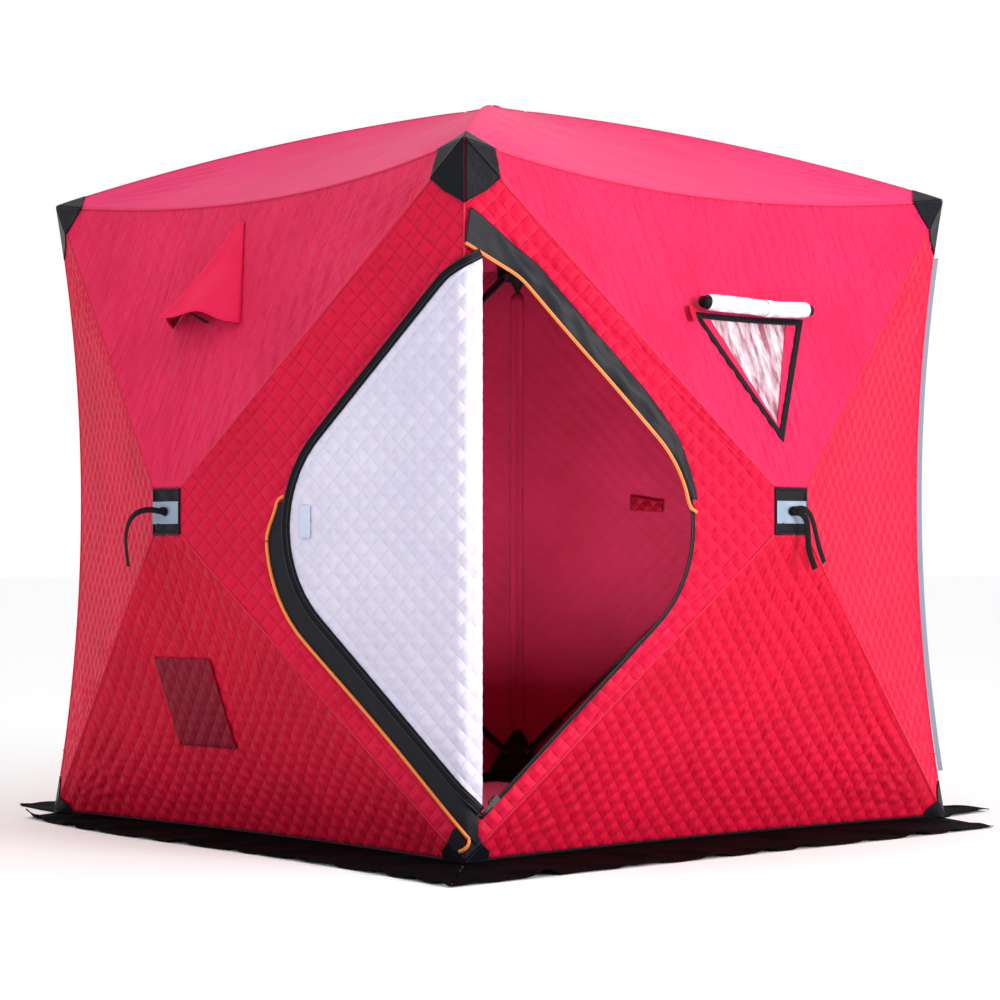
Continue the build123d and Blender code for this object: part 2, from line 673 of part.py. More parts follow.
def pole(pivot, direction, axis, length):
    """A hinged end fitting, a fibreglass rod and the boot on its tip."""
    with BuildSketch(Plane(origin=pivot, x_dir=direction, z_dir=axis)) as tongue:
        Circle(TONGUE_RADIUS)
        Rectangle(SOCKET_START, 2 * TONGUE_RADIUS, align=(Align.MIN, Align.CENTER))
        Circle(PIN_RADIUS + RUN_CLEAR, mode=Mode.SUBTRACT)
    extrude(tongue.sketch, amount=TONGUE_HALF, both=True)
    for start, end, radius in (
        (SOCKET_START, SOCKET_END, SOCKET_RADIUS),
        (SOCKET_END + JOIN_GAP, length - BOOT_LENGTH - JOIN_GAP, ROD_RADIUS),
        (length - BOOT_LENGTH, length, BOOT_RADIUS),
    ):
        with BuildSketch(Plane(origin=pivot + direction * start, z_dir=direction)) as round_section:
            Circle(radius)
        extrude(round_section.sketch, amount=end - start, dir=direction)


def finish(name, part):
    """Labels a finished part and writes it."""
    part.label = name
    export_step(part, f"parts/{name}.step")


def hub_and_poles(name, plane, poles):
    """Makes and writes a hub, its pins, its patch and its four poles."""
    with BuildPart() as hub:
        hub_body(plane, poles)
    finish(f"{name}_hub", hub.part)
    with BuildPart() as pins:
        hub_pins(plane, poles)
    finish(f"{name}_hub_pins", pins.part)
    with BuildPart() as patch:
        hub_patch(plane)
    finish(f"{name}_hub_patch", patch.part)
    for corner, (pivot, direction, axis, length) in poles.items():
        with BuildPart() as rod:
            pole(pivot, direction, axis, length)
        finish(f"{name}_pole_{corner}", rod.part)


# ---------------------------------------------------------------- pull straps

# Routes in a wall hub's own terms: along the wall, up, and out from the patch.
VENT_STRAP = [
    (0, 0, 4), (0, 0, 17), (-26, 6, 33), (-60, 2, 44), (-92, -14, 48),
    (-115, -42, 47), (-127, -76, 42), (-131, -110, 36), (-130, -143, 31),
]
DOOR_STRAP_LONG = [
    (-4, -4, 4), (-4, -4, 15), (10, -5, 27), (25, -20, 32),
    (31, -52, 31), (36, -88, 27), (49, -120, 25), (67, -148, 23),
]
DOOR_STRAP_SHORT = [
    (5, 4, 4), (5, 4, 13), (22, 8, 23), (42, -4, 27),
    (58, -34, 27), (72, -68, 24), (88, -102, 21), (106, -132, 19),
]


def strap_radii(route):
    """Radius at each corner of a route: 0.45 of the shorter run over tan(half the turn)."""
    radii = []
    for before, here, after in zip(route, route[1:], route[2:]):
        first = Vector(*here) - Vector(*before)
        second = Vector(*after) - Vector(*here)
        half_turn = math.radians(first.get_angle(second)) / 2
        radii.append(0.45 * min(first.length, second.length) / math.tan(half_turn))
    return radii


def strap(turn, route):
    """A strap's tube along its route."""
    plane = hub_plane(turn)
    radii = strap_radii(route)
    with BuildLine() as line:
        FilletPolyline(*[plane.from_local_coords(Vector(*point)) for point in route], radius=radii)
    path = line.wires()[0]
    print("strap radii", [round(radius, 1) for radius in radii], "length", round(path.length, 1))
    with BuildSketch(Plane(origin=path @ 0, z_dir=path % 0)) as section:
        Circle(STRAP_RADIUS)
    sweep(sections=section.sketch, path=path)


with BuildPart() as vent_wall_strap:
    strap(WALLS["vent_wall"], VENT_STRAP)

with BuildPart() as door_wall_strap:
    strap(WALLS["door_wall"], DOOR_STRAP_LONG)
    strap(WALLS["door_wall"], DOOR_STRAP_SHORT)

# ---------------------------------------------------------------- writing the parts

finish("roof_panels", roof_panels.part)
finish("door_wall_panels", door_wall_panels.part)
finish("right_wall_panels", right_wall_panels.part)
finish("back_wall_panels", back_wall_panels.part)
finish("vent_wall_panels", vent_wall_panels.part)
finish("snow_skirt", snow_skirt.part)
finish("corner_patches", corner_patches.part)
finish("corner_cups", corner_cups.part)
finish("reflective_edge", reflective_edge.part)
finish("door_edge_strip", door_edge_strip.part)
finish("door_panel", door_panel.part)
finish("door_zip_tape", door_zip_tape.part)
finish("door_storm_flap", door_storm_flap.part)
finish("door_flap_piping", door_flap_piping.part)
finish("wall_storm_flap", wall_storm_flap.part)
finish("wall_flap_piping", wall_flap_piping.part)
finish("wall_zip_tape", wall_zip_tape.part)
finish("zip_slider", zip_slider.part)
finish("window_pane", window_pane.part)
finish("window_tape", window_tape.part)
finish("window_cover_roll", window_cover_roll.part)
finish("vent_hood", vent_hood.part)
finish("vent_prop", vent_prop.part)
finish("vent_wall_strap", vent_wall_strap.part)
finish("door_wall_strap", door_wall_strap.part)
for name, turn in WALLS.items():
    hub_and_poles(name, hub_plane(turn), wall_poles(turn))
hub_and_poles("roof", ROOF_HUB_PLANE, roof_poles())
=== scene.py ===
import math

import bpy
import numpy as np
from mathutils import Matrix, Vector


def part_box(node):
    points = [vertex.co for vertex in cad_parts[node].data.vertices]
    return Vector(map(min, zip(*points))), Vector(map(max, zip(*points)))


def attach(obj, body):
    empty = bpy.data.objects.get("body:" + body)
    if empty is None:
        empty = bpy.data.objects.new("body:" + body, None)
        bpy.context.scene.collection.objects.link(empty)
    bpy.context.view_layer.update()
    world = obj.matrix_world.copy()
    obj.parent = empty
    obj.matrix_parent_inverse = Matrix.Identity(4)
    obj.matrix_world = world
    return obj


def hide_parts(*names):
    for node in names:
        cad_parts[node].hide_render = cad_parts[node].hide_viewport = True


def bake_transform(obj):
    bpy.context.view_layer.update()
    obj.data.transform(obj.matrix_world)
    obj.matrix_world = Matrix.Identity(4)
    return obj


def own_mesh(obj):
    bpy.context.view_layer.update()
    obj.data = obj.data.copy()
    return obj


# A pop-up ice fishing shelter in quilted cloth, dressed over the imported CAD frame. Metres, +Z up,
# the door wall faces +X and the wall with the vent faces -Y.

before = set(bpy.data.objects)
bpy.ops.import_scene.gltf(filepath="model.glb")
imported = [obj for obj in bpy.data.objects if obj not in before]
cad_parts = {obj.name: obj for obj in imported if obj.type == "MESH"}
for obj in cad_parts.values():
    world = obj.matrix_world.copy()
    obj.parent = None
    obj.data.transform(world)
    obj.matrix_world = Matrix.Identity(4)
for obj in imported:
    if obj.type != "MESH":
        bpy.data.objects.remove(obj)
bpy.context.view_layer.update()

# ---------------------------------------------------------------- sizes read from the frame

PANEL_LOW, PANEL_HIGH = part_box("door_wall_panels")
HALF = PANEL_HIGH.y                       # half the square footprint
HUB_OUT = PANEL_HIGH.x                    # how far out a hub patch lies
BASE_Z = PANEL_LOW.z                      # hem of the CAD panels, and the height of the skirt's riser
HEM_Z = 0.009                             # the cloth hangs over the riser, down to this
EAVE_Z = PANEL_HIGH.z                     # top corners
ROOF_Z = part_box("roof_panels")[1].z
HUB_LOW, HUB_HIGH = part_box("door_wall_hub")
HUB_Z = (HUB_LOW.z + HUB_HIGH.z) / 2
PATCH_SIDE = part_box("door_wall_hub_patch")[1].y * 2
PATCH_HALF = PATCH_SIDE / 2 + 0.002       # half the opening in the cloth round a patch
SKIRT_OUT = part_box("snow_skirt")[1].x

# The cloth's cut, as in the CAD source.
CORNER_BOW, DOOR_CORNER_BOW = 0.075, 0.020
EAVE_SAG, HEM_PULL = 0.060, 0.050
CLOTH = 0.004
ROOF_ARCH = 0.030                         # the roof poles bend up by this much under the cloth
SKIRT_TIP = 0.850
DOOR_FOLD = 0.045
DOOR_LOW_Z, DOOR_REACH, DOOR_REACH_Z = 0.103, 0.790, 0.810
DOOR_SHOULDER, DOOR_SHOULDER_Z, DOOR_TOP_Z = 0.160, 1.440, 1.500
DOOR_ROUND, SHOULDER_ROUND = 0.340, 0.200
DOOR_LIFT = 0.0085
FLAP_SPLIT_Z = 0.890
PIPING_RADIUS = 0.0044
WINDOW_S, WINDOW_TOP, WINDOW_TIP, WINDOW_HALF = 0.020, 0.480, 0.124, 0.209
PANE_TOP, PANE_TIP, PANE_HALF = 0.474, 0.176, 0.147
ROLL_RADIUS, ROLL_HALF, ROLL_SLOPE = 0.024, 0.205, 0.508
VENT_S, VENT_LIP, VENT_APEX, VENT_HALF, VENT_RISE = -0.050, 0.452, 0.768, 0.150, 0.105
QUILT = 0.040                             # side of a stitched diamond

WALLS = {"door_wall": 0, "right_wall": 1, "back_wall": 2, "vent_wall": 3}

# ---------------------------------------------------------------- camera

camera_data = bpy.data.cameras.new("camera")
camera_data.sensor_width = 36.0
camera_data.lens = 100.44
camera_data.clip_end = 200
camera = bpy.data.objects.new("camera", camera_data)
bpy.context.scene.collection.objects.link(camera)
camera.location = (5.98, -5.31, 0.76)
tilt = math.radians(1.03)
aim = Vector((-0.7466 * math.cos(tilt), 0.6652 * math.cos(tilt), math.sin(tilt)))
camera.rotation_euler = aim.to_track_quat("-Z", "Y").to_euler()
bpy.context.scene.camera = camera

# ---------------------------------------------------------------- placing things


def spun(points, quarter):
    """Points given for the door wall, carried round by quarter turns about the tent's axis."""
    points = np.asarray(points, float)
    for _ in range(quarter % 4):
        points = np.stack([-points[..., 1], points[..., 0], points[..., 2]], axis=-1)
    return points


def crossed(a, b):
    """Two grids of values, a down the rows and b along the columns."""
    return np.meshgrid(a, b, indexing="ij")


def unit(v):
    v = np.asarray(v, float)
    return v / np.linalg.norm(v, axis=-1, keepdims=True)


def smooth(x, low, high):
    """0 below low, 1 above high, and smooth between."""
    t = np.clip((np.asarray(x, float) - low) / (high - low), 0, 1)
    return t * t * (3 - 2 * t)


def link(obj):
    bpy.context.scene.collection.objects.link(obj)
    return obj


# ---------------------------------------------------------------- materials


def srgb(code):
    """A colour written as six hex digits, in the linear values that shaders take."""
    values = [int(code[i : i + 2], 16) / 255 for i in (0, 2, 4)]
    return [v / 12.92 if v <= 0.04045 else ((v + 0.055) / 1.055) ** 2.4 for v in values] + [1.0]


class Shader:
    """A material under construction: small helpers round one Principled shader."""

    def __init__(self, name, roughness, metallic=0.0):
        self.material = bpy.data.materials.new(name)
        self.material.use_nodes = True
        self.tree = self.material.node_tree
        self.bsdf = self.tree.nodes["Principled BSDF"]
        self.bsdf.inputs["Roughness"].default_value = roughness
        self.bsdf.inputs["Metallic"].default_value = metallic
        self.coords = self.tree.nodes.new("ShaderNodeTexCoord")
        self.normal = None

    def node(self, kind, **settings):
        made = self.tree.nodes.new(kind)
        for key, value in settings.items():
            setattr(made, key, value)
        return made

    def wire(self, source, target):
        self.tree.links.new(source, target)

    def put(self, value, socket):
        """A link if value is a socket, else a plain setting."""
        if isinstance(value, bpy.types.NodeSocket):
            self.wire(value, socket)
        else:
            socket.default_value = value

    def math(self, operation, a, b=None, c=None):
        made = self.node("ShaderNodeMath", operation=operation)
        for value, socket in zip((a, b, c), made.inputs):
            if value is not None:
                self.put(value, socket)
        return made.outputs[0]

    def noise(self, scale, detail=3.0, stretch=(1, 1, 1), uv=True, roughness=0.5):
        mapping = self.node("ShaderNodeMapping")
        self.wire(self.coords.outputs["UV" if uv else "Object"], mapping.inputs["Vector"])
        mapping.inputs["Scale"].default_value = stretch
        made = self.node("ShaderNodeTexNoise")
        self.wire(mapping.outputs[0], made.inputs["Vector"])
        made.inputs["Scale"].default_value = scale
        made.inputs["Detail"].default_value = detail
        made.inputs["Roughness"].default_value = roughness
        return made.outputs["Fac"]

    def ramp(self, fac, stops):
        made = self.node("ShaderNodeValToRGB")
        self.wire(fac, made.inputs["Fac"])
        while len(made.color_ramp.elements) < len(stops):
            made.color_ramp.elements.new(0.5)
        for element, (place, colour) in zip(made.color_ramp.elements, stops):
            element.position = place
            element.color = colour
        return made.outputs["Color"]

    def mix(self, fac, a, b, kind="MIX"):
        made = self.node("ShaderNodeMix", data_type="RGBA", blend_type=kind)
        self.put(fac, made.inputs[0])
        self.put(a, made.inputs[6])
        self.put(b, made.inputs[7])
        return made.outputs[2]

    def bump(self, height, distance, strength=1.0):
        made = self.node("ShaderNodeBump")
        made.inputs["Strength"].default_value = strength
        made.inputs["Distance"].default_value = distance
        self.wire(height, made.inputs["Height"])
        if self.normal is not None:
            self.wire(self.normal, made.inputs["Normal"])
        self.normal = made.outputs["Normal"]

    def finish(self, colour, sheen=0.0, sheen_tint=(1, 1, 1, 1), sheen_roughness=0.5):
        self.put(colour, self.bsdf.inputs["Base Color"])
        if self.normal is not None:
            self.wire(self.normal, self.bsdf.inputs["Normal"])
        if sheen:
            self.bsdf.inputs["Sheen Weight"].default_value = sheen
            self.bsdf.inputs["Sheen Tint"].default_value = sheen_tint
            self.bsdf.inputs["Sheen Roughness"].default_value = sheen_roughness
        return self.material


def quilt_fields(shader, side):
    """Pillow height and stitch-line mask of diamond quilting, from the UV map in metres."""
    split = shader.node("ShaderNodeSeparateXYZ")
    shader.wire(shader.coords.outputs["UV"], split.inputs[0])
    wander = shader.math("MULTIPLY", shader.math("SUBTRACT", shader.noise(14.0, 2.0), 0.5), 0.006)
    x = shader.math("ADD", split.outputs[0], wander)
    y = shader.math("SUBTRACT", split.outputs[1], wander)
    step = side * math.sqrt(2)
    bands = []
    for combined in (shader.math("ADD", x, y), shader.math("SUBTRACT", x, y)):
        place = shader.math("DIVIDE", combined, step)
        bands.append(shader.math("MULTIPLY", shader.math("PINGPONG", place, 0.5), 2.0))
    rounded = [shader.math("POWER", band, 0.70) for band in bands]
    pillow = shader.math("MULTIPLY", rounded[0], rounded[1])
    line = shader.math("MINIMUM", bands[0], bands[1])
    return pillow, line


def darker(colour, share):
    """A colour scaled towards black."""
    return [v * share for v in colour[:3]] + [1.0]


def cloth(name, colour, dark, quilt, crease, stretch, groove_shade=0.72, roughness=0.55, tint=(1, 0.5, 0.6, 1)):
    """Coated outdoor cloth: weave, creases, uneven dye and, where quilt is above 0, diamonds that deep, with
    painted shade along their stitch grooves.
    """
    s = Shader(name, roughness)
    patchy = s.ramp(s.noise(3.2, 4.0), [(0.3, [0, 0, 0, 1]), (0.75, [1, 1, 1, 1])])
    base = s.mix(patchy, dark, colour)
    fine = s.noise(24.0, 4.0, stretch)
    base = s.mix(s.math("MULTIPLY", fine, 0.30), base, darker(dark, 0.62))
    s.bump(s.noise(9.0, 3.0, stretch), crease * 2.0, 0.7)
    s.bump(fine, crease, 0.7)
    if quilt:
        pillow, line = quilt_fields(s, QUILT)
        s.bump(pillow, quilt, 1.0)
        # Painted shade: the cloth is darkened along the quilting's stitch grooves, where shade falls.
        edge = s.math("SMOOTH_MIN", s.math("MULTIPLY", line, 9.0), 1.0, 0.4)
        base = s.mix(s.math("SUBTRACT", 1.0, edge), base, darker(dark, groove_shade))
    weave = s.node("ShaderNodeTexWave", wave_type="BANDS", bands_direction="DIAGONAL")
    s.wire(s.coords.outputs["UV"], weave.inputs["Vector"])
    weave.inputs["Scale"].default_value = 420.0
    weave.inputs["Distortion"].default_value = 1.5
    s.bump(weave.outputs["Fac"], 0.0001, 0.4)
    s.bsdf.inputs["Specular IOR Level"].default_value = 0.10
    return s.finish(base, 0.04, tint)


# Each cloth: its material's name, two tones, how deep its quilting and its creases are, and their stretch.
# Side, top, bottom and roof are one red cloth in four tones. The top and roof tones are painted lighter and
# pinker as painted sky light from above, and the bottom tone is painted darker as painted shade on the
# downward-facing panels.
CLOTHS = {
    "side": ("cloth_side", "E01442", "C40E36", 0.0070, 0.0050, (1, 1, 1), {}),
    "top": ("cloth_top", "E82A5C", "D01A4A", 0.0005, 0.0110, (3.6, 0.6, 1), {"groove_shade": 0.95}),
    "bottom": ("cloth_bottom", "D60434", "BA022A", 0.0050, 0.0075, (3.4, 0.6, 1), {}),
    "roof": ("cloth_roof", "EC3472", "E02A66", 0.0003, 0.0016, (2.6, 0.6, 1), {"groove_shade": 0.97}),
    "hood": ("cloth_hood", "F02456", "E01848", 0.0, 0.0034, (1.4, 1, 1), {}),
    "inside": ("cloth_inside", "A8284E", "94203F", 0.0, 0.0020, (1, 1, 1), {"roughness": 0.65}),
    "lining": ("lining_white", "DDD9EC", "CFCBE0", 0.0045, 0.0060, (1.5, 1, 1),
               {"groove_shade": 0.93, "tint": (1, 1, 1, 1)}),
    "dark_patch": ("dark_red_patch", "8E0228", "7A0220", 0.0070, 0.0040, (3.4, 0.7, 1), {}),
}
M = {}
for key, (name, light, dark, quilt, crease, stretch, rest) in CLOTHS.items():
    M[key] = cloth(name, srgb(light), srgb(dark), quilt, crease, stretch, **rest)


def black_cloth(
    name, colour="0E1017", gloss=0.42, crease=0.0022, stretch=(1, 1, 1), specular=0.10, sheen=0.02
):
    """Black woven polyester: a satin face with soft folds and a fine thread."""
    s = Shader(name, gloss)
    base = s.mix(s.noise(7.0, 4.0), srgb(colour), darker(srgb(colour), 0.55))
    s.bump(s.noise(16.0, 3.0, stretch), crease * 2.5, 0.8)
    s.bump(s.noise(60.0, 2.0, stretch), crease, 0.5)
    check = s.node("ShaderNodeTexChecker")
    s.wire(s.coords.outputs["UV"], check.inputs["Vector"])
    check.inputs["Scale"].default_value = 900.0
    s.bump(check.outputs["Fac"], 0.00015, 0.5)
    s.bsdf.inputs["Specular IOR Level"].default_value = specular
    return s.finish(base, sheen, (0.75, 0.8, 1, 1))


M["black"] = black_cloth("cloth_black")
M["flap"] = black_cloth("cloth_black_satin", "12151D", 0.38, 0.0010, (0.6, 1.6, 1), 0.16, 0.03)
M["skirt"] = black_cloth("cloth_skirt", "07070A", 0.80, 0.0040, specular=0.03, sheen=0.0)
M["webbing"] = black_cloth("webbing_black", "0C0D11", 0.6, 0.0006)


def plain(name, colour, second, roughness, grain, depth, metallic=0.0, uv=False, sheen=0.0):
    """A moulded or coated surface: two close tones and a fine grain."""
    s = Shader(name, roughness, metallic)
    base = s.mix(s.noise(9.0, 5.0, uv=uv), colour, second)
    s.bump(s.noise(grain, 3.0, uv=uv), depth, 0.6)
    return s.finish(base, sheen)


# Each surface: its material's name, two tones, roughness, and the grain's scale and depth.
SURFACES = {
    "orange": ("piping_orange", "F08A2C", "D66E18", 0.55, 500.0, 0.0003, {"sheen": 0.2}),
    "grey_tape": ("reflective_grey", "8F9EB2", "76869C", 0.32, 700.0, 0.0002, {"metallic": 0.25, "uv": True}),
    "welt": ("binding_red", "CE143E", "B40E32", 0.75, 420.0, 0.0005, {}),
    # The roof's binding is the red binding painted pinker, as painted sky light like the roof cloth.
    "roof_welt": ("binding_pink", "DC2C60", "CC2254", 0.75, 420.0, 0.0005, {}),
    "zip": ("zip_black", "101216", "1C1F25", 0.35, 900.0, 0.0004, {}),
    "tab": ("tab_blue_grey", "C3CCE2", "B2BDD6", 0.8, 420.0, 0.0006, {"sheen": 0.4}),
    "tie": ("tie_pale", "E9E4EA", "CFC8D4", 0.7, 300.0, 0.0005, {"sheen": 0.3}),
    "hub": ("hub_black_plastic", "17181B", "222429", 0.42, 420.0, 0.0002, {}),
    "pin": ("pin_steel", "B4B6BA", "96989E", 0.28, 150.0, 0.0001, {"metallic": 1.0}),
    "pole": ("pole_black", "141518", "24262C", 0.3, 260.0, 0.0003, {}),
    "cup": ("cup_black", "15161A", "1F2126", 0.5, 300.0, 0.0003, {}),
}
for key, (name, colour, second, roughness, grain, depth, rest) in SURFACES.items():
    M[key] = plain(name, srgb(colour), srgb(second), roughness, grain, depth, **rest)


def clear_film(name):
    """Soft clear film: creased, glossy and a little milky, with painted highlights on its fold crests and
    painted shade in its troughs.
    """
    s = Shader(name, 0.14)
    long_folds = s.noise(7.0, 3.0, (5.0, 1.1, 1), roughness=0.6)
    s.bump(long_folds, 0.03, 1.0)
    s.bump(s.noise(30.0, 2.0, (3.0, 0.8, 1)), 0.005, 0.8)
    # Partly painted light: a milky tone that runs near white on the fold crests as painted highlights and
    # dark pink in the troughs as painted shade.
    milk_and_fold_shading = s.ramp(long_folds, [(0.38, srgb("9A5A6C")), (0.47, srgb("C4A4B0")), (0.60, srgb("E4DCE4"))])
    s.bsdf.inputs["Alpha"].default_value = 0.70
    s.bsdf.inputs["Specular IOR Level"].default_value = 0.8
    return s.finish(milk_and_fold_shading)


M["film"] = clear_film("window_film")

for node_name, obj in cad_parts.items():
    if node_name.endswith("_pins"):
        look = M["pin"]
    elif node_name.endswith("_hub"):
        look = M["hub"]
    elif "_pole_" in node_name:
        look = M["pole"]
    elif node_name == "corner_cups":
        look = M["cup"]
    elif node_name in ("zip_slider", "vent_prop"):
        look = M["zip"]
    elif node_name == "reflective_edge":
        look = M["grey_tape"]
    else:
        continue
    obj.data.materials.clear()
    obj.data.materials.append(look)

# ---------------------------------------------------------------- mesh making


class Sheets:
    """A mesh put together from grids of points, each a sheet of cloth with two faces and a rim."""

    def __init__(self):
        self.points, self.faces, self.uvs, self.slots, self.count = [], [], [], [], 0

    def add(self, grid, uv, out, thick=0.0012, slots=(0, 0), lift=0.0):
        """Adds a sheet. out is a rough outward direction, lift moves it out, thick is measured inward."""
        rows, columns = grid.shape[:2]
        normal = grid_normals(grid, out)
        outer = grid + normal * lift
        inner = outer - normal * thick
        facing = np.cross(grid[-1, 0] - grid[0, 0], grid[0, -1] - grid[0, 0])
        flip = np.dot(facing, np.asarray(out, float)) < 0
        index = self.count + np.arange(rows * columns).reshape(rows, columns)
        a, b, c, d = index[:-1, :-1], index[1:, :-1], index[1:, 1:], index[:-1, 1:]
        quads = np.stack([a, b, c, d], axis=-1).reshape(-1, 4)
        if flip:
            quads = quads[:, ::-1]
        second = rows * columns
        rim = np.concatenate([index[:, 0], index[-1, 1:], index[::-1, -1][1:], index[0, ::-1][1:-1]])
        following = np.roll(rim, -1)
        sides = np.stack([rim, following, following + second, rim + second], axis=-1)
        if not flip:
            sides = sides[:, ::-1]
        self.points += [outer.reshape(-1, 3), inner.reshape(-1, 3)]
        self.uvs += [uv.reshape(-1, 2)] * 2
        self.faces += [quads, quads[:, ::-1] + second, sides]
        for count, slot in ((len(quads), slots[0]), (len(quads), slots[1]), (len(sides), slots[0])):
            self.slots.append(np.full(count, slot))
        self.count += 2 * second

    def make(self, name, *materials):
        points, faces = np.concatenate(self.points), np.concatenate(self.faces)
        uvs, slots = np.concatenate(self.uvs), np.concatenate(self.slots)
        mesh = bpy.data.meshes.new(name)
        mesh.from_pydata(points.tolist(), [], faces.tolist())
        layer = mesh.uv_layers.new(name="UVMap")
        layer.data.foreach_set("uv", uvs[faces.reshape(-1)].astype(np.float32).ravel())
        mesh.polygons.foreach_set("material_index", slots.astype(np.int32))
        mesh.polygons.foreach_set("use_smooth", np.ones(len(faces), bool))
        for material in materials:
            mesh.materials.append(material)
        mesh.validate()
        mesh.update()
        return link(bpy.data.objects.new(name, mesh))


def grid_normals(grid, out):
    """Unit normals of a grid of points, on the side of out."""
    along, across = np.gradient(grid, axis=0), np.gradient(grid, axis=1)
    normal = np.cross(along, across)
    size = np.linalg.norm(normal, axis=-1, keepdims=True)
    mean = normal.sum(axis=(0, 1))
    normal = np.where(size > 1e-12, normal / np.maximum(size, 1e-12), unit(mean))
    return normal if np.dot(mean, np.asarray(out, float)) > 0 else -normal


def tube(name, points, radius, material, sides=10):
    """A round cord along points as a closed mesh."""
    points = np.asarray(points, float)
    tangent = unit(np.gradient(points, axis=0))
    guide = np.array([0.0, 0.0, 1.0]) if abs(tangent[:, 2]).mean() < 0.9 else np.array([1.0, 0.0, 0.0])
    first = unit(np.cross(tangent, guide))
    second = np.cross(tangent, first)
    angles = np.linspace(0, 2 * math.pi, sides, endpoint=False)
    rings = points[:, None] + radius * (
        first[:, None] * np.cos(angles)[None, :, None] + second[:, None] * np.sin(angles)[None, :, None]
    )
    mesh = bpy.data.meshes.new(name)
    faces = []
    for i in range(len(points) - 1):
        for j in range(sides):
            k = (j + 1) % sides
            faces.append((i * sides + j, i * sides + k, (i + 1) * sides + k, (i + 1) * sides + j))
    faces.append(tuple(range(sides))[::-1])
    faces.append(tuple((len(points) - 1) * sides + j for j in range(sides)))
    mesh.from_pydata(rings.reshape(-1, 3).tolist(), [], faces)
    mesh.polygons.foreach_set("use_smooth", np.ones(len(faces), bool))
    mesh.materials.append(material)
    mesh.update()
    return link(bpy.data.objects.new(name, mesh))


def join(name, objects):
    """One object from several meshes."""
    chosen = {"selected_editable_objects": objects, "selected_objects": objects}
    with bpy.context.temp_override(active_object=objects[0], **chosen):
        bpy.ops.object.join()
    objects[0].name = name
    return objects[0]


def bake(obj):
    """Applies an object's modifiers to its mesh."""
    depsgraph = bpy.context.evaluated_depsgraph_get()
    mesh = bpy.data.meshes.new_from_object(obj.evaluated_get(depsgraph))
    obj.modifiers.clear()
    obj.data = mesh
    return obj


def carve(obj, outline, direction, depth):
    """Cuts the prism on a closed outline of points, both ways along direction, out of a cloth piece."""
    outline, step = np.asarray(outline, float), np.asarray(direction, float) * depth
    count = len(outline)
    mesh = bpy.data.meshes.new("cutter")
    faces = [tuple(range(count)), tuple(range(2 * count - 1, count - 1, -1))]
    faces += [(i, i + count, (i + 1) % count + count, (i + 1) % count) for i in range(count)]
    mesh.from_pydata(np.concatenate([outline - step, outline + step]).tolist(), [], faces)
    cutter = link(bpy.data.objects.new("cutter", mesh))
    modifier = obj.modifiers.new("cut", "BOOLEAN")
    modifier.operation, modifier.object, modifier.solver = "DIFFERENCE", cutter, "EXACT"
    bake(obj)
    bpy.data.objects.remove(cutter)
    return obj


# ---------------------------------------------------------------- the cloth's surfaces

rng = np.random.default_rng(7)


def panel_point(kind, t, w, side=1, bow=CORNER_BOW):
    """Points of a door-wall panel: t from 0 to 1 along its edge, w from its edge to the hub patch."""
    t, w = np.asarray(t, float), np.asarray(w, float)
    arch = 4 * t * (1 - t)
    s = (2 * t - 1) * HALF
    patch = (2 * t - 1) * PATCH_HALF
    if kind == "side":
        in_at_corner = HALF - arch * bow / math.sqrt(2)
        edge = (in_at_corner, side * in_at_corner, HEM_Z + t * (EAVE_Z - HEM_Z))
        end = (HUB_OUT + 0 * t, side * PATCH_HALF + 0 * t, HUB_Z + patch)
    elif kind == "top":
        edge = (HALF - arch * EAVE_SAG, s, EAVE_Z - arch * EAVE_SAG)
        end = (HUB_OUT + 0 * t, patch, HUB_Z + PATCH_HALF + 0 * t)
    elif kind == "bottom":
        edge = (HALF - arch * HEM_PULL, s, HEM_Z + 0 * t)
        end = (HUB_OUT + 0 * t, patch, HUB_Z - PATCH_HALF + 0 * t)
    else:
        edge = (HALF - arch * EAVE_SAG, s, EAVE_Z - arch * EAVE_SAG)
        end = (PATCH_HALF + 0 * t, patch, ROOF_Z + 0 * t)
    point = np.stack([e * (1 - w) + p * w for e, p in zip(edge, end)], axis=-1)
    if kind == "roof":
        ridge = 0.45 + 0.55 * np.abs(2 * t - 1) ** 2
        point[..., 2] += ROOF_ARCH * ridge * np.sin(math.pi * np.clip(w, 0, 1)) ** 0.8
    return point


def panel_uv(kind, point):
    """Flat coordinates of a panel's points, in metres, with the weave upright."""
    x, y, z = point[..., 0], point[..., 1], point[..., 2]
    if kind == "side":
        return np.stack([np.hypot(x - HALF, np.abs(y) - HALF), z], axis=-1)
    if kind == "roof":
        return np.stack([y, np.hypot(x, z - ROOF_Z)], axis=-1)
    return np.stack([y, np.hypot(x - HUB_OUT, z - HUB_Z)], axis=-1)


def folds(uv, amount, waves):
    """Shallow random folds over flat coordinates: a sum of a few bent waves."""
    height = np.zeros(uv.shape[:-1])
    for _ in range(waves):
        angle, length, phase = rng.uniform(0, math.pi), rng.uniform(0.07, 0.26), rng.uniform(0, 6.28)
        bend = 0.05 * np.sin(uv[..., 1] * rng.uniform(3, 8) + phase)
        place = (uv[..., 0] + bend) * math.cos(angle) + uv[..., 1] * math.sin(angle)
        height += np.sin(2 * math.pi * place / length + phase) * length / 0.16
    return height * amount / waves


def edge_mask(t, w, edge=0.10):
    """1 inside a panel and 0 along its seams."""
    return smooth(np.minimum.reduce([t, 1 - t, w * 1.2, (1 - w) * 1.2]), 0, edge)


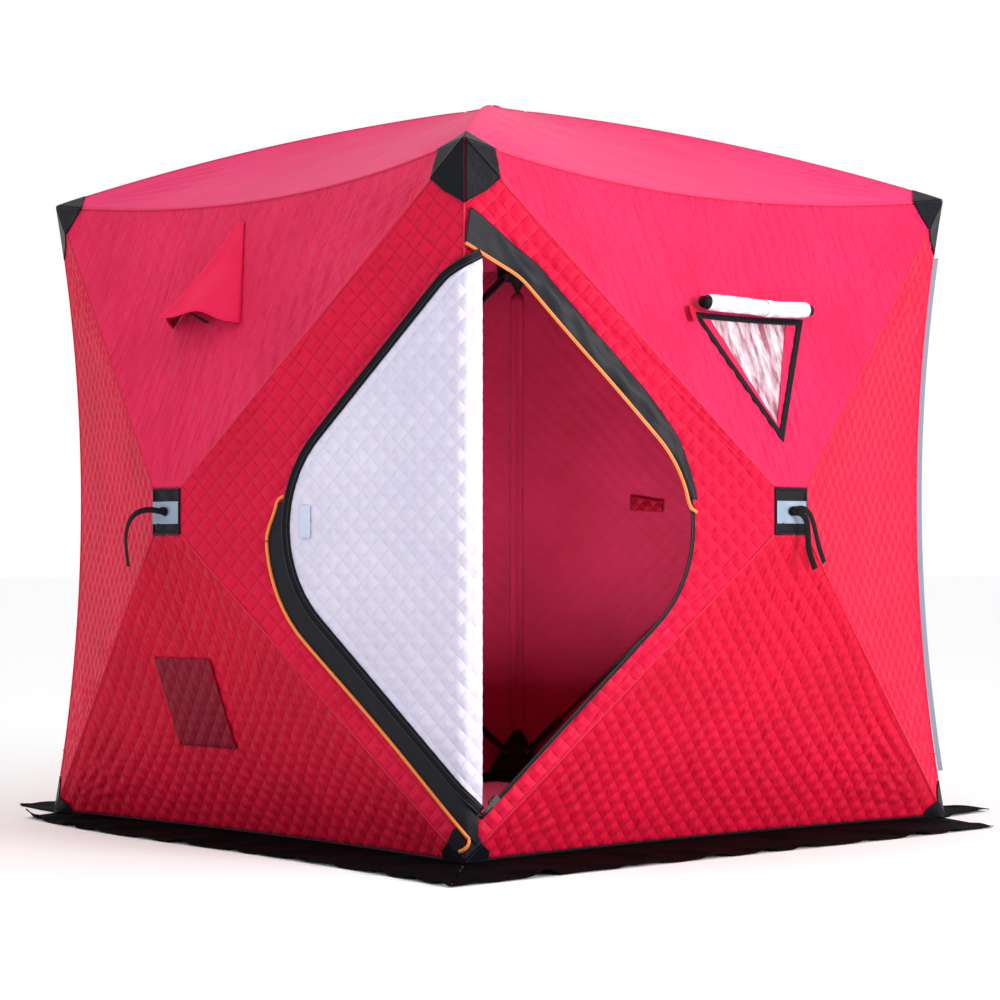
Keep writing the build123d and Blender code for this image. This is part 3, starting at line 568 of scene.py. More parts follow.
def panel_grid(kind, side, bow, rows, columns, amount):
    """A panel's points with folds, seam puckers and, near its corners, drawn creases."""
    t, w = crossed(np.linspace(0, 1, rows), np.linspace(0, 1, columns) ** 0.9)
    point = panel_point(kind, t, w, side, bow)
    uv = panel_uv(kind, point)
    out = (0.3, 0, 1) if kind == "roof" else (1, 0, 0.05)
    normal = grid_normals(point, out)
    from_seam = np.minimum(t, 1 - t)
    pucker = np.sin(2 * math.pi * w * 42) * np.exp(-from_seam * 30) * smooth(from_seam, 0, 0.012)
    reach = np.minimum(np.hypot(t * 2, w), np.hypot((1 - t) * 2, w))
    ray = np.arctan2(from_seam * 2, w + 1e-6)
    drawn = np.sin(ray * 26 + 1.3) * np.exp(-((reach - 0.22) / 0.17) ** 2)
    height = folds(uv, amount, 9) * edge_mask(t, w) + pucker * 0.0009
    height = height + drawn * amount * 0.7 * edge_mask(t, w, 0.06)
    u, v = uv[..., 0], uv[..., 1]
    uv = uv + 0.007 * np.stack([np.sin(v * 11 + u * 4), np.sin(u * 13 - v * 5)], axis=-1)
    if kind == "side":
        for d, p in ((1 - t, 0.3), (t, 2.2)):        # folds drawn along the two seams
            tension = 0.0028 * np.sin(2 * math.pi * d / 0.038 + p + 1.2 * np.sin(w * 7 + p))
            height += tension * np.exp(-d / 0.075) * smooth(d, 0, 0.02) * np.sin(math.pi * w)
    quilt_side = QUILT * math.sqrt(2)
    depth = {"side": 0.0032, "bottom": 0.0024, "top": 0.0004, "roof": 0.0002}[kind]
    if kind in ("top", "bottom"):
        u, v = uv[..., 0], uv[..., 1]
        crinkle = sum(
            np.sin(2 * math.pi * (u * f + 0.3 * np.sin(v * 5 + p) + v * g) + p)
            for f, g, p in ((31, 2.5, 0.4), (43, -1.5, 2.1), (57, 3.0, 4.4))
        )
        height = height + crinkle * (0.0009 if kind == "top" else 0.0006) * edge_mask(t, w, 0.05)
    diamonds = 1
    for place in (uv[..., 0] + uv[..., 1], uv[..., 0] - uv[..., 1]):
        diamonds = diamonds * np.abs(np.sin(math.pi * place / quilt_side)) ** 0.6
    height += (diamonds - 0.5) * depth * edge_mask(t, w, 0.02)
    return point + normal * height[..., None], uv


# ---------------------------------------------------------------- wall and roof panels

BY_DOOR = (("door_wall", -1), ("vent_wall", 1))   # the two side panels that meet at the door's corner


def bow_of(wall, side):
    """How far the upright edge of a wall's side panel bows in."""
    return DOOR_CORNER_BOW if (wall, side) in BY_DOOR else CORNER_BOW


panels = {}
for wall, quarter in WALLS.items():
    seen = wall in ("door_wall", "vent_wall")
    for kind, side in (("top", 1), ("bottom", 1), ("side", 1), ("side", -1)):
        rows, columns = (200, 110) if seen and kind != "top" else (130, 70)
        bow = bow_of(wall, side) if kind == "side" else CORNER_BOW
        grid, uv = panel_grid(kind, side, bow, rows, columns, 0.0022)
        grid = spun(grid, quarter)
        sheet = Sheets()
        sheet.add(grid, uv, spun((1, 0, 0.05), quarter), CLOTH, (0, 1))
        place = {"top": "top", "bottom": "bottom", "side": "right" if side == 1 else "left"}[kind]
        piece = sheet.make(f"{wall}_{place}_cloth", M[kind], M["inside"])
        panels[wall, place] = piece
for quarter in range(4):
    grid, uv = panel_grid("roof", 1, 0, 150, 90, 0.0026)
    grid = spun(grid, quarter)
    sheet = Sheets()
    sheet.add(grid, uv, (0, 0, 1), CLOTH, (0, 1))
    name = {0: "door", 1: "right", 2: "back", 3: "vent"}[quarter]
    piece = sheet.make(f"roof_{name}_cloth", M["roof"], M["inside"])
    panels["roof", name] = piece

# ---------------------------------------------------------------- door geometry

SPAN = HALF - PATCH_HALF
BULGE = HUB_OUT - HALF
CORNER = np.array([HALF, -HALF, 0.0])
DOOR_ALONG, DOOR_OUT = unit([BULGE, SPAN, 0]), unit([SPAN, -BULGE, 0])
VENT_ALONG, VENT_OUT = unit([-SPAN, -BULGE, 0]), unit([BULGE, -SPAN, 0])
UP = np.array([0.0, 0.0, 1.0])
FOLD_HALF_TURN = (math.pi / 2 - 2 * math.atan2(BULGE, SPAN)) / 2
FOLD_POINT = CORNER + unit([1, -1, 0]) * DOOR_LIFT / math.cos(FOLD_HALF_TURN)
LEAF_START = 2 * DOOR_FOLD + DOOR_LIFT * math.tan(FOLD_HALF_TURN)
FOLD_BEND = 0.022                         # half the cloth that rounds the fold


def door_outline(grow, start=DOOR_FOLD, count=40):
    """The door's D outline grown by an amount, as (u, z) points from its low end up to its top end."""
    past = start - DOOR_FOLD
    rise, fall = DOOR_REACH_Z - DOOR_LOW_Z, DOOR_TOP_Z - DOOR_SHOULDER_Z
    low = np.array([start, DOOR_LOW_Z + past * rise / (DOOR_REACH - DOOR_FOLD)])
    top = np.array([start, DOOR_TOP_Z - past * fall / (DOOR_SHOULDER - DOOR_FOLD)])
    corners = [np.array([DOOR_REACH, DOOR_REACH_Z]), np.array([DOOR_SHOULDER, DOOR_SHOULDER_Z])]
    runs = [unit(corners[0] - low), unit(corners[1] - corners[0]), unit(top - corners[1])]
    sides = [np.array([run[1], -run[0]]) for run in runs]
    points = [low + sides[0] * grow + runs[0] * (start - (low + sides[0] * grow)[0]) / runs[0][0]]
    for corner, radius, before, after in zip(corners, (DOOR_ROUND, SHOULDER_ROUND), range(2), range(1, 3)):
        half_turn = math.acos(np.clip(runs[before] @ runs[after], -1, 1)) / 2
        centre = corner - runs[before] * radius * math.tan(half_turn) - sides[before] * radius
        first = math.atan2(sides[before][1], sides[before][0])
        for angle in np.linspace(first, first + 2 * half_turn, count // 2):
            points.append(centre + (radius + grow) * np.array([math.cos(angle), math.sin(angle)]))
    end = top + sides[2] * grow
    points.append(end + runs[2] * (start - end[0]) / runs[2][0])
    return np.array(points)


def resample(points, count):
    """Evenly spaced points along a polyline."""
    points = np.asarray(points, float)
    length = np.concatenate([[0], np.cumsum(np.linalg.norm(np.diff(points, axis=0), axis=1))])
    even = np.linspace(0, length[-1], count)
    return np.stack([np.interp(even, length, points[:, i]) for i in range(points.shape[1])], axis=-1)


def outline_band(inner, outer, count, across, low_z=-1.0, high_z=9.0, start=DOOR_FOLD):
    """A grid of (u, z) between two outlines of the door, kept between two heights of its middle line."""
    middle = resample(door_outline((inner + outer) / 2, start), 400)
    keep = (middle[:, 1] > low_z) & (middle[:, 1] < high_z)
    middle = resample(middle[keep], count)
    run = unit(np.gradient(middle, axis=0))
    side = np.stack([run[:, 1], -run[:, 0]], axis=-1)
    reach = np.linspace(inner, outer, across) - (inner + outer) / 2
    return middle[:, None] + side[:, None] * reach[None, :, None]


def flap_band(inner, outer, count, across, low_z=-1.0, high_z=9.0, start=DOOR_FOLD):
    """A grid of (u, z) beside the door's outline, between two offsets that vary along its length."""
    share, columns = np.linspace(0, 1, count)[:, None], []
    for mix in np.linspace(0, 1, across):
        constant = float(inner(0.5) * (1 - mix) + outer(0.5) * mix)
        line = resample(door_outline(constant, start), 400)
        line = resample(line[(line[:, 1] > low_z) & (line[:, 1] < high_z)], count)
        run = unit(np.gradient(line, axis=0))
        extra = inner(share) * (1 - mix) + outer(share) * mix - constant
        columns.append(line + np.stack([run[:, 1], -run[:, 0]], axis=-1) * extra)
    return np.stack(columns, axis=1)


def on_door(flat, height):
    """Points given as (u, z) on the door wall, raised by a height."""
    height = np.asarray(height, float)[..., None]
    return CORNER + DOOR_ALONG * flat[..., :1] + UP * flat[..., 1:] + DOOR_OUT * height


def on_leaf(flat, height):
    """Points of the folded-back door, given as (u, z) of the closed door, raised outward by a height."""
    u = flat[..., 0]
    bend = FOLD_BEND
    t = np.clip((u - LEAF_START + bend) / (2 * bend), 0, 1)[..., None]
    before = FOLD_POINT + DOOR_ALONG * np.minimum(0, u - LEAF_START + bend)[..., None] * -1
    after = FOLD_POINT + VENT_ALONG * np.maximum(0, u - LEAF_START - bend)[..., None]
    start, end = FOLD_POINT + DOOR_ALONG * bend, FOLD_POINT + VENT_ALONG * bend
    curve = start * (1 - t) ** 2 + 2 * FOLD_POINT * t * (1 - t) + end * t**2
    place = curve + (before - FOLD_POINT) + (after - FOLD_POINT)
    normal = unit(DOOR_OUT * (1 - t) + VENT_OUT * t)
    return place + UP * flat[..., 1:] + normal * np.asarray(height, float)[..., None]


# ---------------------------------------------------------------- openings in the cloth

opening = door_outline(-0.010)[::-1]
cut_line = CORNER + DOOR_ALONG * opening[:, :1] + UP * opening[:, 1:]
carve(panels["door_wall", "left"], cut_line, DOOR_OUT, 0.06)

SLOPE_UP = unit([-(BULGE + EAVE_SAG), 0, EAVE_Z - EAVE_SAG - HUB_Z - PATCH_HALF])
SLOPE_OUT = np.array([SLOPE_UP[2], 0, -SLOPE_UP[0]])
SLOPE_BASE = np.array([HUB_OUT, 0, HUB_Z + PATCH_HALF])


def on_slope(s, up, height, quarter=0):
    """Points on the middle plane of a wall's top panel: along the wall, up the slope, and out."""
    s, up, height = (np.asarray(v, float)[..., None] for v in np.broadcast_arrays(s, up, height))
    return spun(SLOPE_BASE + np.array([0, 1, 0]) * s + SLOPE_UP * up + SLOPE_OUT * height, quarter)


pane_sides = [WINDOW_S - PANE_HALF, WINDOW_S + PANE_HALF, WINDOW_S]
pane_corners = on_slope(pane_sides, [PANE_TOP, PANE_TOP, PANE_TIP], 0.0)
carve(panels["door_wall", "top"], pane_corners, SLOPE_OUT, 0.05)
around = np.linspace(0, 2 * math.pi, 28, endpoint=False)
vent_up = (VENT_LIP + VENT_APEX) / 2 - 0.03
vent_hole = on_slope(VENT_S + 0.08 * np.cos(around), vent_up + 0.055 * np.sin(around), 0.0, 3)
carve(panels["vent_wall", "top"], vent_hole, spun(SLOPE_OUT, 3), 0.05)


def surface_height(s, up, spare=0.0):
    """How far a top panel's curved cloth stands off its middle plane."""
    share = np.clip(np.asarray(up, float) / 0.829, 0, 1)
    at_eave = np.asarray(s, float) / (PATCH_HALF * (1 - share) + HALF * share + 1e-9)
    return EAVE_SAG * at_eave**2 * (SLOPE_OUT[0] + SLOPE_OUT[2]) * share + spare


# ---------------------------------------------------------------- door leaf

rows = 170
edge = door_outline(-0.024, DOOR_FOLD)
z = np.linspace(edge[0, 1] + 0.003, edge[-1, 1] - 0.003, rows)
lining_reach = np.interp(z, edge[:, 1], edge[:, 0])
w = np.linspace(0, 1, 110)
leaf_edge = DOOR_FOLD + 0.001
leaf_u = leaf_edge + (lining_reach[:, None] - DOOR_FOLD - 0.001) * w[None]
flat = np.stack([leaf_u, np.repeat(z[:, None], 110, 1)], -1)
flat[..., 0] = np.maximum(flat[..., 0], leaf_edge + 0.002 * w[None])
away = smooth(lining_reach[:, None] - flat[..., 0], 0, 0.05)
past_fold = smooth(flat[..., 0], LEAF_START + 0.01, LEAF_START + 0.09)
quilting = 1
for place in (flat[..., 0] + flat[..., 1], flat[..., 0] - flat[..., 1]):
    quilting = quilting * np.abs(np.sin(math.pi * place / (QUILT * math.sqrt(2)))) ** 0.6
relief = folds(flat, 0.0035, 8) * past_fold * away + quilting * 0.0028 * away + 0.0015
leaf_grid = on_leaf(flat, relief)
leaf = Sheets()
leaf.add(leaf_grid, flat, (0.3, -1, 0), 0.0045, (0, 1))
door_leaf = leaf.make("door_leaf_cloth", M["lining"], M["side"])
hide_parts("door_panel", "door_edge_strip")


def round_the_fold(piece):
    """Bakes a door piece's placement into its mesh."""
    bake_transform(piece)


round_the_fold(door_leaf)
LEAF_FLAT_START = 0.050                   # where the tape and flap begin, on the hinge strip
band = outline_band(-0.029, -0.005, 260, 7, start=LEAF_FLAT_START)
zip_tape = Sheets()
zip_tape.add(on_leaf(band, 0.0052 + 0.0004 * np.sin(band[..., 1] * 190)), band, (0.3, -1, 0), 0.0050)
door_tape = zip_tape.make("door_zip_tape_cloth", M["black"])
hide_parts("door_zip_tape")
round_the_fold(door_tape)


def zip_teeth(name, outline_at, place, body, low_z=-1.0, start=DOOR_FOLD):
    """A coil zip: a close row of small teeth along an outline of the door."""
    line = outline_band(outline_at - 0.0005, outline_at + 0.0005, 560, 2, low_z, start=start).mean(axis=1)
    line = resample(line, int(np.linalg.norm(np.diff(line, axis=0), axis=1).sum() / 0.0032))
    swing = 0.0009 * np.where(np.arange(len(line)) % 2 == 0, 1, -1)
    run = unit(np.gradient(line, axis=0))
    zigzag = line + np.stack([run[:, 1], -run[:, 0]], -1) * swing[:, None]
    teeth = tube(name, place(zigzag), 0.0011, M["zip"], 5)
    if body == "door_leaf":
        round_the_fold(teeth)
    else:
        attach(teeth, body)


zip_teeth("door_zip_teeth", -0.0075, lambda p: on_leaf(p, 0.0064), "door_leaf", start=LEAF_FLAT_START)
zip_teeth("door_zip_stitching", -0.0225, lambda p: on_leaf(p, 0.0060), "door_leaf", start=LEAF_FLAT_START)

FLAP_ROWS = 22


def offset(value):
    """An edge that keeps one distance from the door's outline."""
    return lambda share: value + 0 * share


# The storm flap sewn along the leaf's lower edge, with its orange piping and the loose tail of it.
LEAF_FLAP_HIGH, LEAF_FLAP_START = FLAP_SPLIT_Z - 0.004, 0.054


def leaf_flap_edge(share):
    """How far the leaf's flap reaches beyond the door's outline: it narrows to its top end."""
    return 0.049 * (1 - 0.60 * smooth(share, 0.90, 1.0)) * (0.94 + 0.06 * np.cos(share * 9))


band = flap_band(offset(-0.016), leaf_flap_edge, 220, FLAP_ROWS, -1.0, LEAF_FLAP_HIGH, LEAF_FLAP_START)
across = np.linspace(0, 1, FLAP_ROWS)[None]
along = np.cumsum(np.concatenate([[0], np.linalg.norm(np.diff(band[:, 11], axis=0), axis=1)]))[:, None]
billow = np.sin(across * math.pi) * (0.6 + 0.4 * np.sin(along * 17 + across * 2)) * 0.0030
billow = billow + 0.0008 * np.sin(along * 60 + across * 5)
flap = Sheets()
flap_uv = np.stack([along + 0 * across, across * 0.065 + 0 * along], -1)
flap.add(on_leaf(band, -0.0035 + billow), flap_uv, (0.3, -1, 0), 0.0014)
door_flap = flap.make("door_storm_flap_cloth", M["flap"])
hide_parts("door_storm_flap")
round_the_fold(door_flap)

pipe_line = flap_band(
    lambda share: leaf_flap_edge(share) + 0.0026, lambda share: leaf_flap_edge(share) + 0.0028,
    200, 2, -1.0, LEAF_FLAP_HIGH, LEAF_FLAP_START,
).mean(axis=1)
pipe_line = pipe_line[pipe_line[:, 0] > LEAF_START - 0.016]
pipe = on_leaf(pipe_line, -0.0015 + 0 * pipe_line[:, 0])
low_end = pipe[0]
tail = [
    low_end + VENT_ALONG * along_vent - UP * down + VENT_OUT * out
    for along_vent, down, out in (
        (-0.003, 0.007, 0.004), (-0.001, 0.017, 0.007), (0.009, 0.026, 0.009), (0.022, 0.031, 0.010),
    )
]
top_run = unit(pipe[-1] - pipe[-2])
hook = [pipe[-1] + top_run * 0.010 - VENT_ALONG * 0.006, pipe[-1] + top_run * 0.016 - VENT_ALONG * 0.020]
pipe_route = resample(np.concatenate([tail[::-1], pipe, hook]), 220)
door_piping = tube("door_flap_piping_cord", pipe_route, PIPING_RADIUS, M["orange"], 8)
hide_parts("door_flap_piping")
round_the_fold(door_piping)

tab_uv = np.stack(crossed(np.linspace(0.548, 0.580, 8), np.linspace(0.790, 0.872, 16)), -1)
tab = Sheets()
tab.add(on_leaf(tab_uv, 0.0075 + 0 * tab_uv[..., 0]), tab_uv, (0.3, -1, 0), 0.0022)
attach(tab.make("door_hook_tab", M["tab"]), "door_leaf")

# ---------------------------------------------------------------- the opening's edge

band = outline_band(-0.0125, -0.0030, 260, 5)
tape = Sheets()
tape.add(on_door(band, 0.0015 + 0 * band[..., 0]), band, DOOR_OUT, 0.0045)
wall_tape = tape.make("wall_zip_tape_cloth", M["black"])
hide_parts("wall_zip_tape")
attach(wall_tape, "door_frame")
zip_teeth("wall_zip_teeth", -0.0120, lambda p: on_door(p, 0.0022), "door_frame")


def wall_flap_edge(share):
    """How far the wall's flap reaches beyond the door's outline: it widens from its low end."""
    return 0.010 + 0.030 * smooth(share, 0.0, 0.36) + 0.026 * smooth(share, 0.80, 1.0)


band = flap_band(offset(-0.016), wall_flap_edge, 240, 24, FLAP_SPLIT_Z, start=0.002)
across = np.linspace(0, 1, 24)[None]
along = np.cumsum(np.concatenate([[0], np.linalg.norm(np.diff(band[:, 12], axis=0), axis=1)]))[:, None]
under_door = smooth(band[..., 0], 0.045, 0.12)
middle = np.sin(across * math.pi)
billow = middle**0.7 * 0.0042 + 0.0022 * np.sin(along * 19 + across * 3) * middle
billow = (billow + 0.0010 * np.sin(along * 47 - across * 6)) * under_door
flap = Sheets()
flap_uv = np.stack([along + 0 * across, across * 0.068 + 0 * along], -1)
flap.add(on_door(band, 0.0035 + billow), flap_uv, DOOR_OUT, 0.0014)
wall_flap = flap.make("wall_storm_flap_cloth", M["flap"])
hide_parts("wall_storm_flap")
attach(wall_flap, "door_frame")
pipe_line = flap_band(offset(-0.0182), offset(-0.0180), 200, 2, FLAP_SPLIT_Z, start=0.002).mean(axis=1)
pipe = on_door(pipe_line, 0.0045 + 0.0015 * np.sin(pipe_line[:, 1] * 23))
low_run = unit(pipe[0] - pipe[1])
hook = [pipe[0] + low_run * down + DOOR_ALONG * aside
        for down, aside in ((0.014, 0.0), (0.030, 0.004), (0.040, 0.018))]
pipe_route = resample(np.concatenate([hook[::-1], pipe]), 220)
wall_piping = tube("wall_flap_piping_cord", pipe_route, PIPING_RADIUS, M["orange"], 8)
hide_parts("wall_flap_piping")
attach(wall_piping, "door_frame")

# ---------------------------------------------------------------- corner patches


def corner_piece(sheet, wall, kind, side, bow, corners, out, count=12):
    """One cloth of a corner patch, lying on a panel between four (t, w) corners."""
    a, b = crossed(np.linspace(0, 1, count), np.linspace(0, 1, count))
    t, w = (sum(weight * corner[i] for weight, corner in
                zip(((1 - a) * (1 - b), a * (1 - b), a * b, (1 - a) * b), corners)) for i in (0, 1))
    point = panel_point(kind, t, w, side, bow)
    sheet.add(spun(point, WALLS[wall]), panel_uv(kind, point), spun(out, WALLS[wall]), 0.002, lift=0.0038)


corner_cloth = Sheets()
height, run = EAVE_Z - HEM_Z, 2 * HALF
for wall in WALLS:
    for side in (1, -1):
        bow = bow_of(wall, side)
        end = 1.0 if side == 1 else 0.0
        inward = -1 if side == 1 else 1
        down, seam, eave, hip = 0.155 / height, 0.110, inward * 0.110 / run, 0.070
        foot = inward * 0.085 / run
        out = (1, side * 0.3, 0.1)
        for kind, corners, facing in (
            ("side", [(1, 0), (1 - down, 0), (1 - down * 0.45, seam * 0.62), (1, seam)], out),
            ("top", [(end, 0), (end, seam), (end + eave * 0.55, seam * 0.5), (end + eave, 0)], out),
            ("roof", [(end, 0), (end, hip), (end + eave * 0.5, hip * 0.5), (end + eave, 0)], (0.2, 0, 1)),
            ("side", [(0, 0), (0.100 / height, 0), (0.05 / height, 0.035), (0, 0.055)], out),
            ("bottom", [(end, 0), (end, 0.055), (end + inward * 0.030, 0.03), (end + foot, 0)], (1, 0, 0)),
        ):
            corner_piece(corner_cloth, wall, kind, side, bow, corners, facing)
patches = corner_cloth.make("corner_patch_cloth", M["black"])
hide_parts("corner_patches")
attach(patches, "tent")

# ---------------------------------------------------------------- bindings over the seams


def line_on(kind, t, w, side=1, bow=CORNER_BOW, quarter=0):
    return spun(panel_point(kind, t, w, side, bow), quarter)


for wall, quarter in WALLS.items():
    cords = []
    for side in (1, -1):
        for t in (0.0, 1.0):
            w = np.linspace(0.107 if t else 0.052, 1, 50)   # from the edge of the corner patch
            line = line_on("side", t + 0 * w, w, side, quarter=quarter)
            cords.append(tube("seam", line, 0.0018, M["welt"], 6))
    seams = join(f"{wall}_seam_welts", cords)
    panels[wall, "seams"] = seams
w = np.linspace(0.067, 1, 50)
hips = [tube("seam", line_on("roof", 1.0 + 0 * w, w, 1, quarter=quarter), 0.0026, M["roof_welt"], 6)
        for quarter in range(4)]
panels["roof", "seams"] = join("roof_seam_welts", hips)
t = np.linspace(0, 1, 70)
between = np.linspace(0.058, 0.912, 70)   # an upright edge between its foot patch and its top patch
eave = np.linspace(0.06, 0.94, 70)
edges = []
for corner_index in range(4):
    bow = DOOR_CORNER_BOW if corner_index == 3 else CORNER_BOW
    edges.append(tube("seam", line_on("side", between, 0 * t, 1, bow, corner_index), 0.0030, M["welt"], 8))
    edges.append(tube("seam", line_on("roof", eave, 0 * t, 1, 0, corner_index), 0.0026, M["roof_welt"], 8))
    edges.append(tube("seam", line_on("bottom", t, 0 * t, 1, 0, corner_index), 0.0045, M["black"], 8))
binding = join("edge_bindings", edges)
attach(binding, "tent")

# ---------------------------------------------------------------- snow skirt


def skirt_grid(left, right, outer_left, outer_middle, outer_right):
    """A door-wall skirt: down from the hem and out over the ground, with soft waves and a turned-up rim."""
    across, along = crossed(np.linspace(0, 1, 46), np.linspace(0, 1, 170))
    arch = 4 * along * (1 - along)
    s = 2 * along - 1
    inner_x, inner_y = HALF - 0.002 - arch * HEM_PULL, s * (HALF - 0.0035)
    middle_share = 1 - np.abs(s) ** 2.2
    outer_x = np.where(s < 0, outer_left, outer_right) * (1 - middle_share) + outer_middle * middle_share
    outer_y = np.where(s < 0, s * left, s * right)
    out = smooth(across, 0.10, 1.0) ** 0.9
    x, y = inner_x * (1 - out) + outer_x * out, inner_y * (1 - out) + outer_y * out
    wave = np.zeros_like(x)
    for _ in range(9):
        angle, length, phase = rng.uniform(-0.9, 0.9), rng.uniform(0.10, 0.40), rng.uniform(0, 6.28)
        wave += np.sin(2 * math.pi * (y * math.cos(angle) + x * math.sin(angle)) / length + phase)
    lifted = np.clip(wave / 9 * 0.026, 0, None) * smooth(across, 0.12, 0.4)
    free_tip = smooth(-s, 0.90, 1.0) if outer_left < 1.1 else 0.0
    rim = 0.005 * smooth(across, 0.86, 1.0) * (0.6 + 0.4 * np.sin(y * 31))
    rim = rim + free_tip * 0.022 * smooth(across, 0.55, 1.0)
    z = 0.0030 + BASE_Z * (1 - smooth(across, 0.0, 0.16)) + lifted + rim
    return np.stack([x, y, z], -1)


skirts = []
SKIRT_SQUARE = SKIRT_OUT - 0.001
# Each skirt: how far along its two ends lie, and how far out its left, middle and right lie.
SKIRT_SHAPES = {
    "door_wall": (SKIRT_SQUARE, 0.790, SKIRT_SQUARE, 1.190, 1.165),
    "right_wall": (SKIRT_TIP, SKIRT_TIP, 1.170, 1.160, 1.170),
    "back_wall": (SKIRT_TIP, SKIRT_TIP, 1.170, 1.160, 1.170),
    "vent_wall": (SKIRT_TIP, SKIRT_SQUARE, 1.030, 1.125, SKIRT_SQUARE),
}
for wall, shape in SKIRT_SHAPES.items():
    grid = spun(skirt_grid(*shape), WALLS[wall])
    sheet = Sheets()
    sheet.add(grid, grid[..., :2], (0, 0, 1), 0.0022)
    piece = sheet.make(f"{wall}_skirt", M["skirt"])
    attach(piece, "tent")
    skirts.append(piece)
for piece in skirts:
    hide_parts("snow_skirt")

# ---------------------------------------------------------------- hub patches


def hub_point(quarter, s, up, out):
    """Points in a wall hub's own terms: along the wall, up, and out from the patch."""
    s, up, out = np.broadcast_arrays(*(np.asarray(v, float) for v in (s, up, out)))
    return spun(np.stack([HUB_OUT + out, s, HUB_Z + up], -1), quarter)


def roof_point(_, s, up, out):
    s, up, out = np.broadcast_arrays(*(np.asarray(v, float) for v in (s, up, out)))
    return np.stack([s, up, ROOF_Z + out], -1)


def hub_cover(name, quarter, place, out, face="black", band="grey_tape", tie="webbing"):
    """The patch over a hub: a hemmed black square with a grey band and the webbing's knot."""
    half = PATCH_SIDE / 2
    sheet = Sheets()
    s, up = crossed(np.linspace(-half, half, 60), np.linspace(-half, half, 60))
    rise = smooth(half - np.maximum(abs(s), abs(up)), 0, 0.012)
    crown = 0.0022 * rise + 0.0012 * np.sin(s * 90 + up * 40) * rise + 0.0008 * np.sin(up * 150) * rise
    sheet.add(place(quarter, s, up, crown), np.stack([s, up], -1), out, 0.004, (0, 0))
    hem = 0.007
    for across, low, high in [(way, start, start + hem) for way in (0, 1) for start in (-half, half - hem)]:
        a, b = crossed(np.linspace(low, high, 6), np.linspace(-half, half, 50))
        s2, up2 = (a, b) if across == 0 else (b, a)
        fold = 0.0030 + 0.0010 * np.sin((a - low) / hem * math.pi)
        sheet.add(place(quarter, s2, up2, fold), np.stack([s2, up2], -1), out, 0.0028, (0, 0))
    band_s, band_up = crossed(np.linspace(-half + 0.004, half - 0.004, 60), np.linspace(-0.032, 0.026, 30))
    band_grid = place(quarter, band_s, band_up, 0.0046 + 0.0010 * np.sin(band_s * 75))
    sheet.add(band_grid, np.stack([band_s, band_up], -1), out, 0.0012, (1, 1))
    piece = sheet.make(f"{name}_patch_cloth", M[face], M[band])
    turns = np.linspace(0, 1, 120)
    knot, rings = [], ((0.0105, 0.008, 0.5), (0.0085, 0.012, -0.8), (0.006, 0.015, 0.2))
    for i, (radius, lift, lean) in enumerate(rings):
        angle = turns * 2 * math.pi
        rise = radius * 0.8 * np.sin(angle) + 0.002 * i
        turn = place(quarter, radius * np.cos(angle), rise, lift + 0.004 * lean * np.sin(angle))
        knot.append(tube("knot", turn, 0.0036, M[tie], 8))
    stem = place(quarter, np.zeros(12), np.zeros(12), np.linspace(0.002, 0.014, 12))
    base = tube("knot", stem, 0.0065, M[tie], 12)
    tied = join(f"{name}_knot", knot + [base])
    return piece, tied


hub_pieces = {}
for wall, quarter in WALLS.items():
    hub_pieces[wall] = hub_cover(wall, quarter, hub_point, spun((1, 0, 0), quarter))
hub_pieces["roof"] = hub_cover("roof", 0, roof_point, (0, 0, 1), "roof", "roof_welt", "roof_welt")
for name, (piece, tied) in hub_pieces.items():
    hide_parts(f"{name}_hub_patch")
    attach(piece, f"{name}_hub_group")
    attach(tied, f"{name}_hub_group")
    if name in ("right_wall", "back_wall", "roof"):
        place, quarter = (roof_point, 0) if name == "roof" else (hub_point, WALLS[name])
        a = np.linspace(-1, 1, 40)
        loop_s, loop_out = 0.034 * a, 0.004 + 0.016 * np.cos(a * math.pi / 2) ** 1.5
        b = np.linspace(-0.007, 0.007, 4)
        s, up = crossed(loop_s, b)
        sheet = Sheets()
        out = (0, 0, 1) if name == "roof" else spun((1, 0, 0), quarter)
        loop = place(quarter, s, up, np.repeat(loop_out[:, None], 4, 1))
        sheet.add(loop, np.stack([s, up], -1), out, 0.0016)
        look = M["roof_welt" if name == "roof" else "webbing"]
        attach(sheet.make(f"{name}_sewn_loop", look), f"{name}_hub_group")

# ---------------------------------------------------------------- window


def window_grid(outer_half, outer_top, outer_tip, inner_half, inner_top, inner_tip, height, count=60):
    """The border between two triangles on the window's slope, as one closed ring of points."""
    rings = []
    for half, top, tip in ((outer_half, outer_top, outer_tip), (inner_half, inner_top, inner_tip)):
        start = (WINDOW_S - half, top)
        corners = np.array([start, (WINDOW_S, tip), (WINDOW_S + half, top), start])
        pieces = [np.linspace(corners[i], corners[i + 1], count, endpoint=False) for i in range(3)]
        rings.append(np.concatenate(pieces + [corners[3:]]))
    mix = np.linspace(0, 1, 6)[None, :, None]
    flat = rings[0][:, None] * (1 - mix) + rings[1][:, None] * mix
    return flat, on_slope(flat[..., 0], flat[..., 1], surface_height(flat[..., 0], flat[..., 1]) + height)


border = Sheets()
BORDER = 0.017
half_angle = math.atan2(WINDOW_HALF, WINDOW_TOP - WINDOW_TIP)
inner_tip = WINDOW_TIP + BORDER / math.sin(half_angle)
inner_top = WINDOW_TOP - BORDER
inner_half = (inner_top - inner_tip) * math.tan(half_angle)
flat, grid = window_grid(WINDOW_HALF, WINDOW_TOP, WINDOW_TIP, inner_half, inner_top, inner_tip, 0.0035)
border.add(grid, flat, SLOPE_OUT, 0.0025)
window_border = border.make("window_hook_border", M["black"])
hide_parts("window_tape")

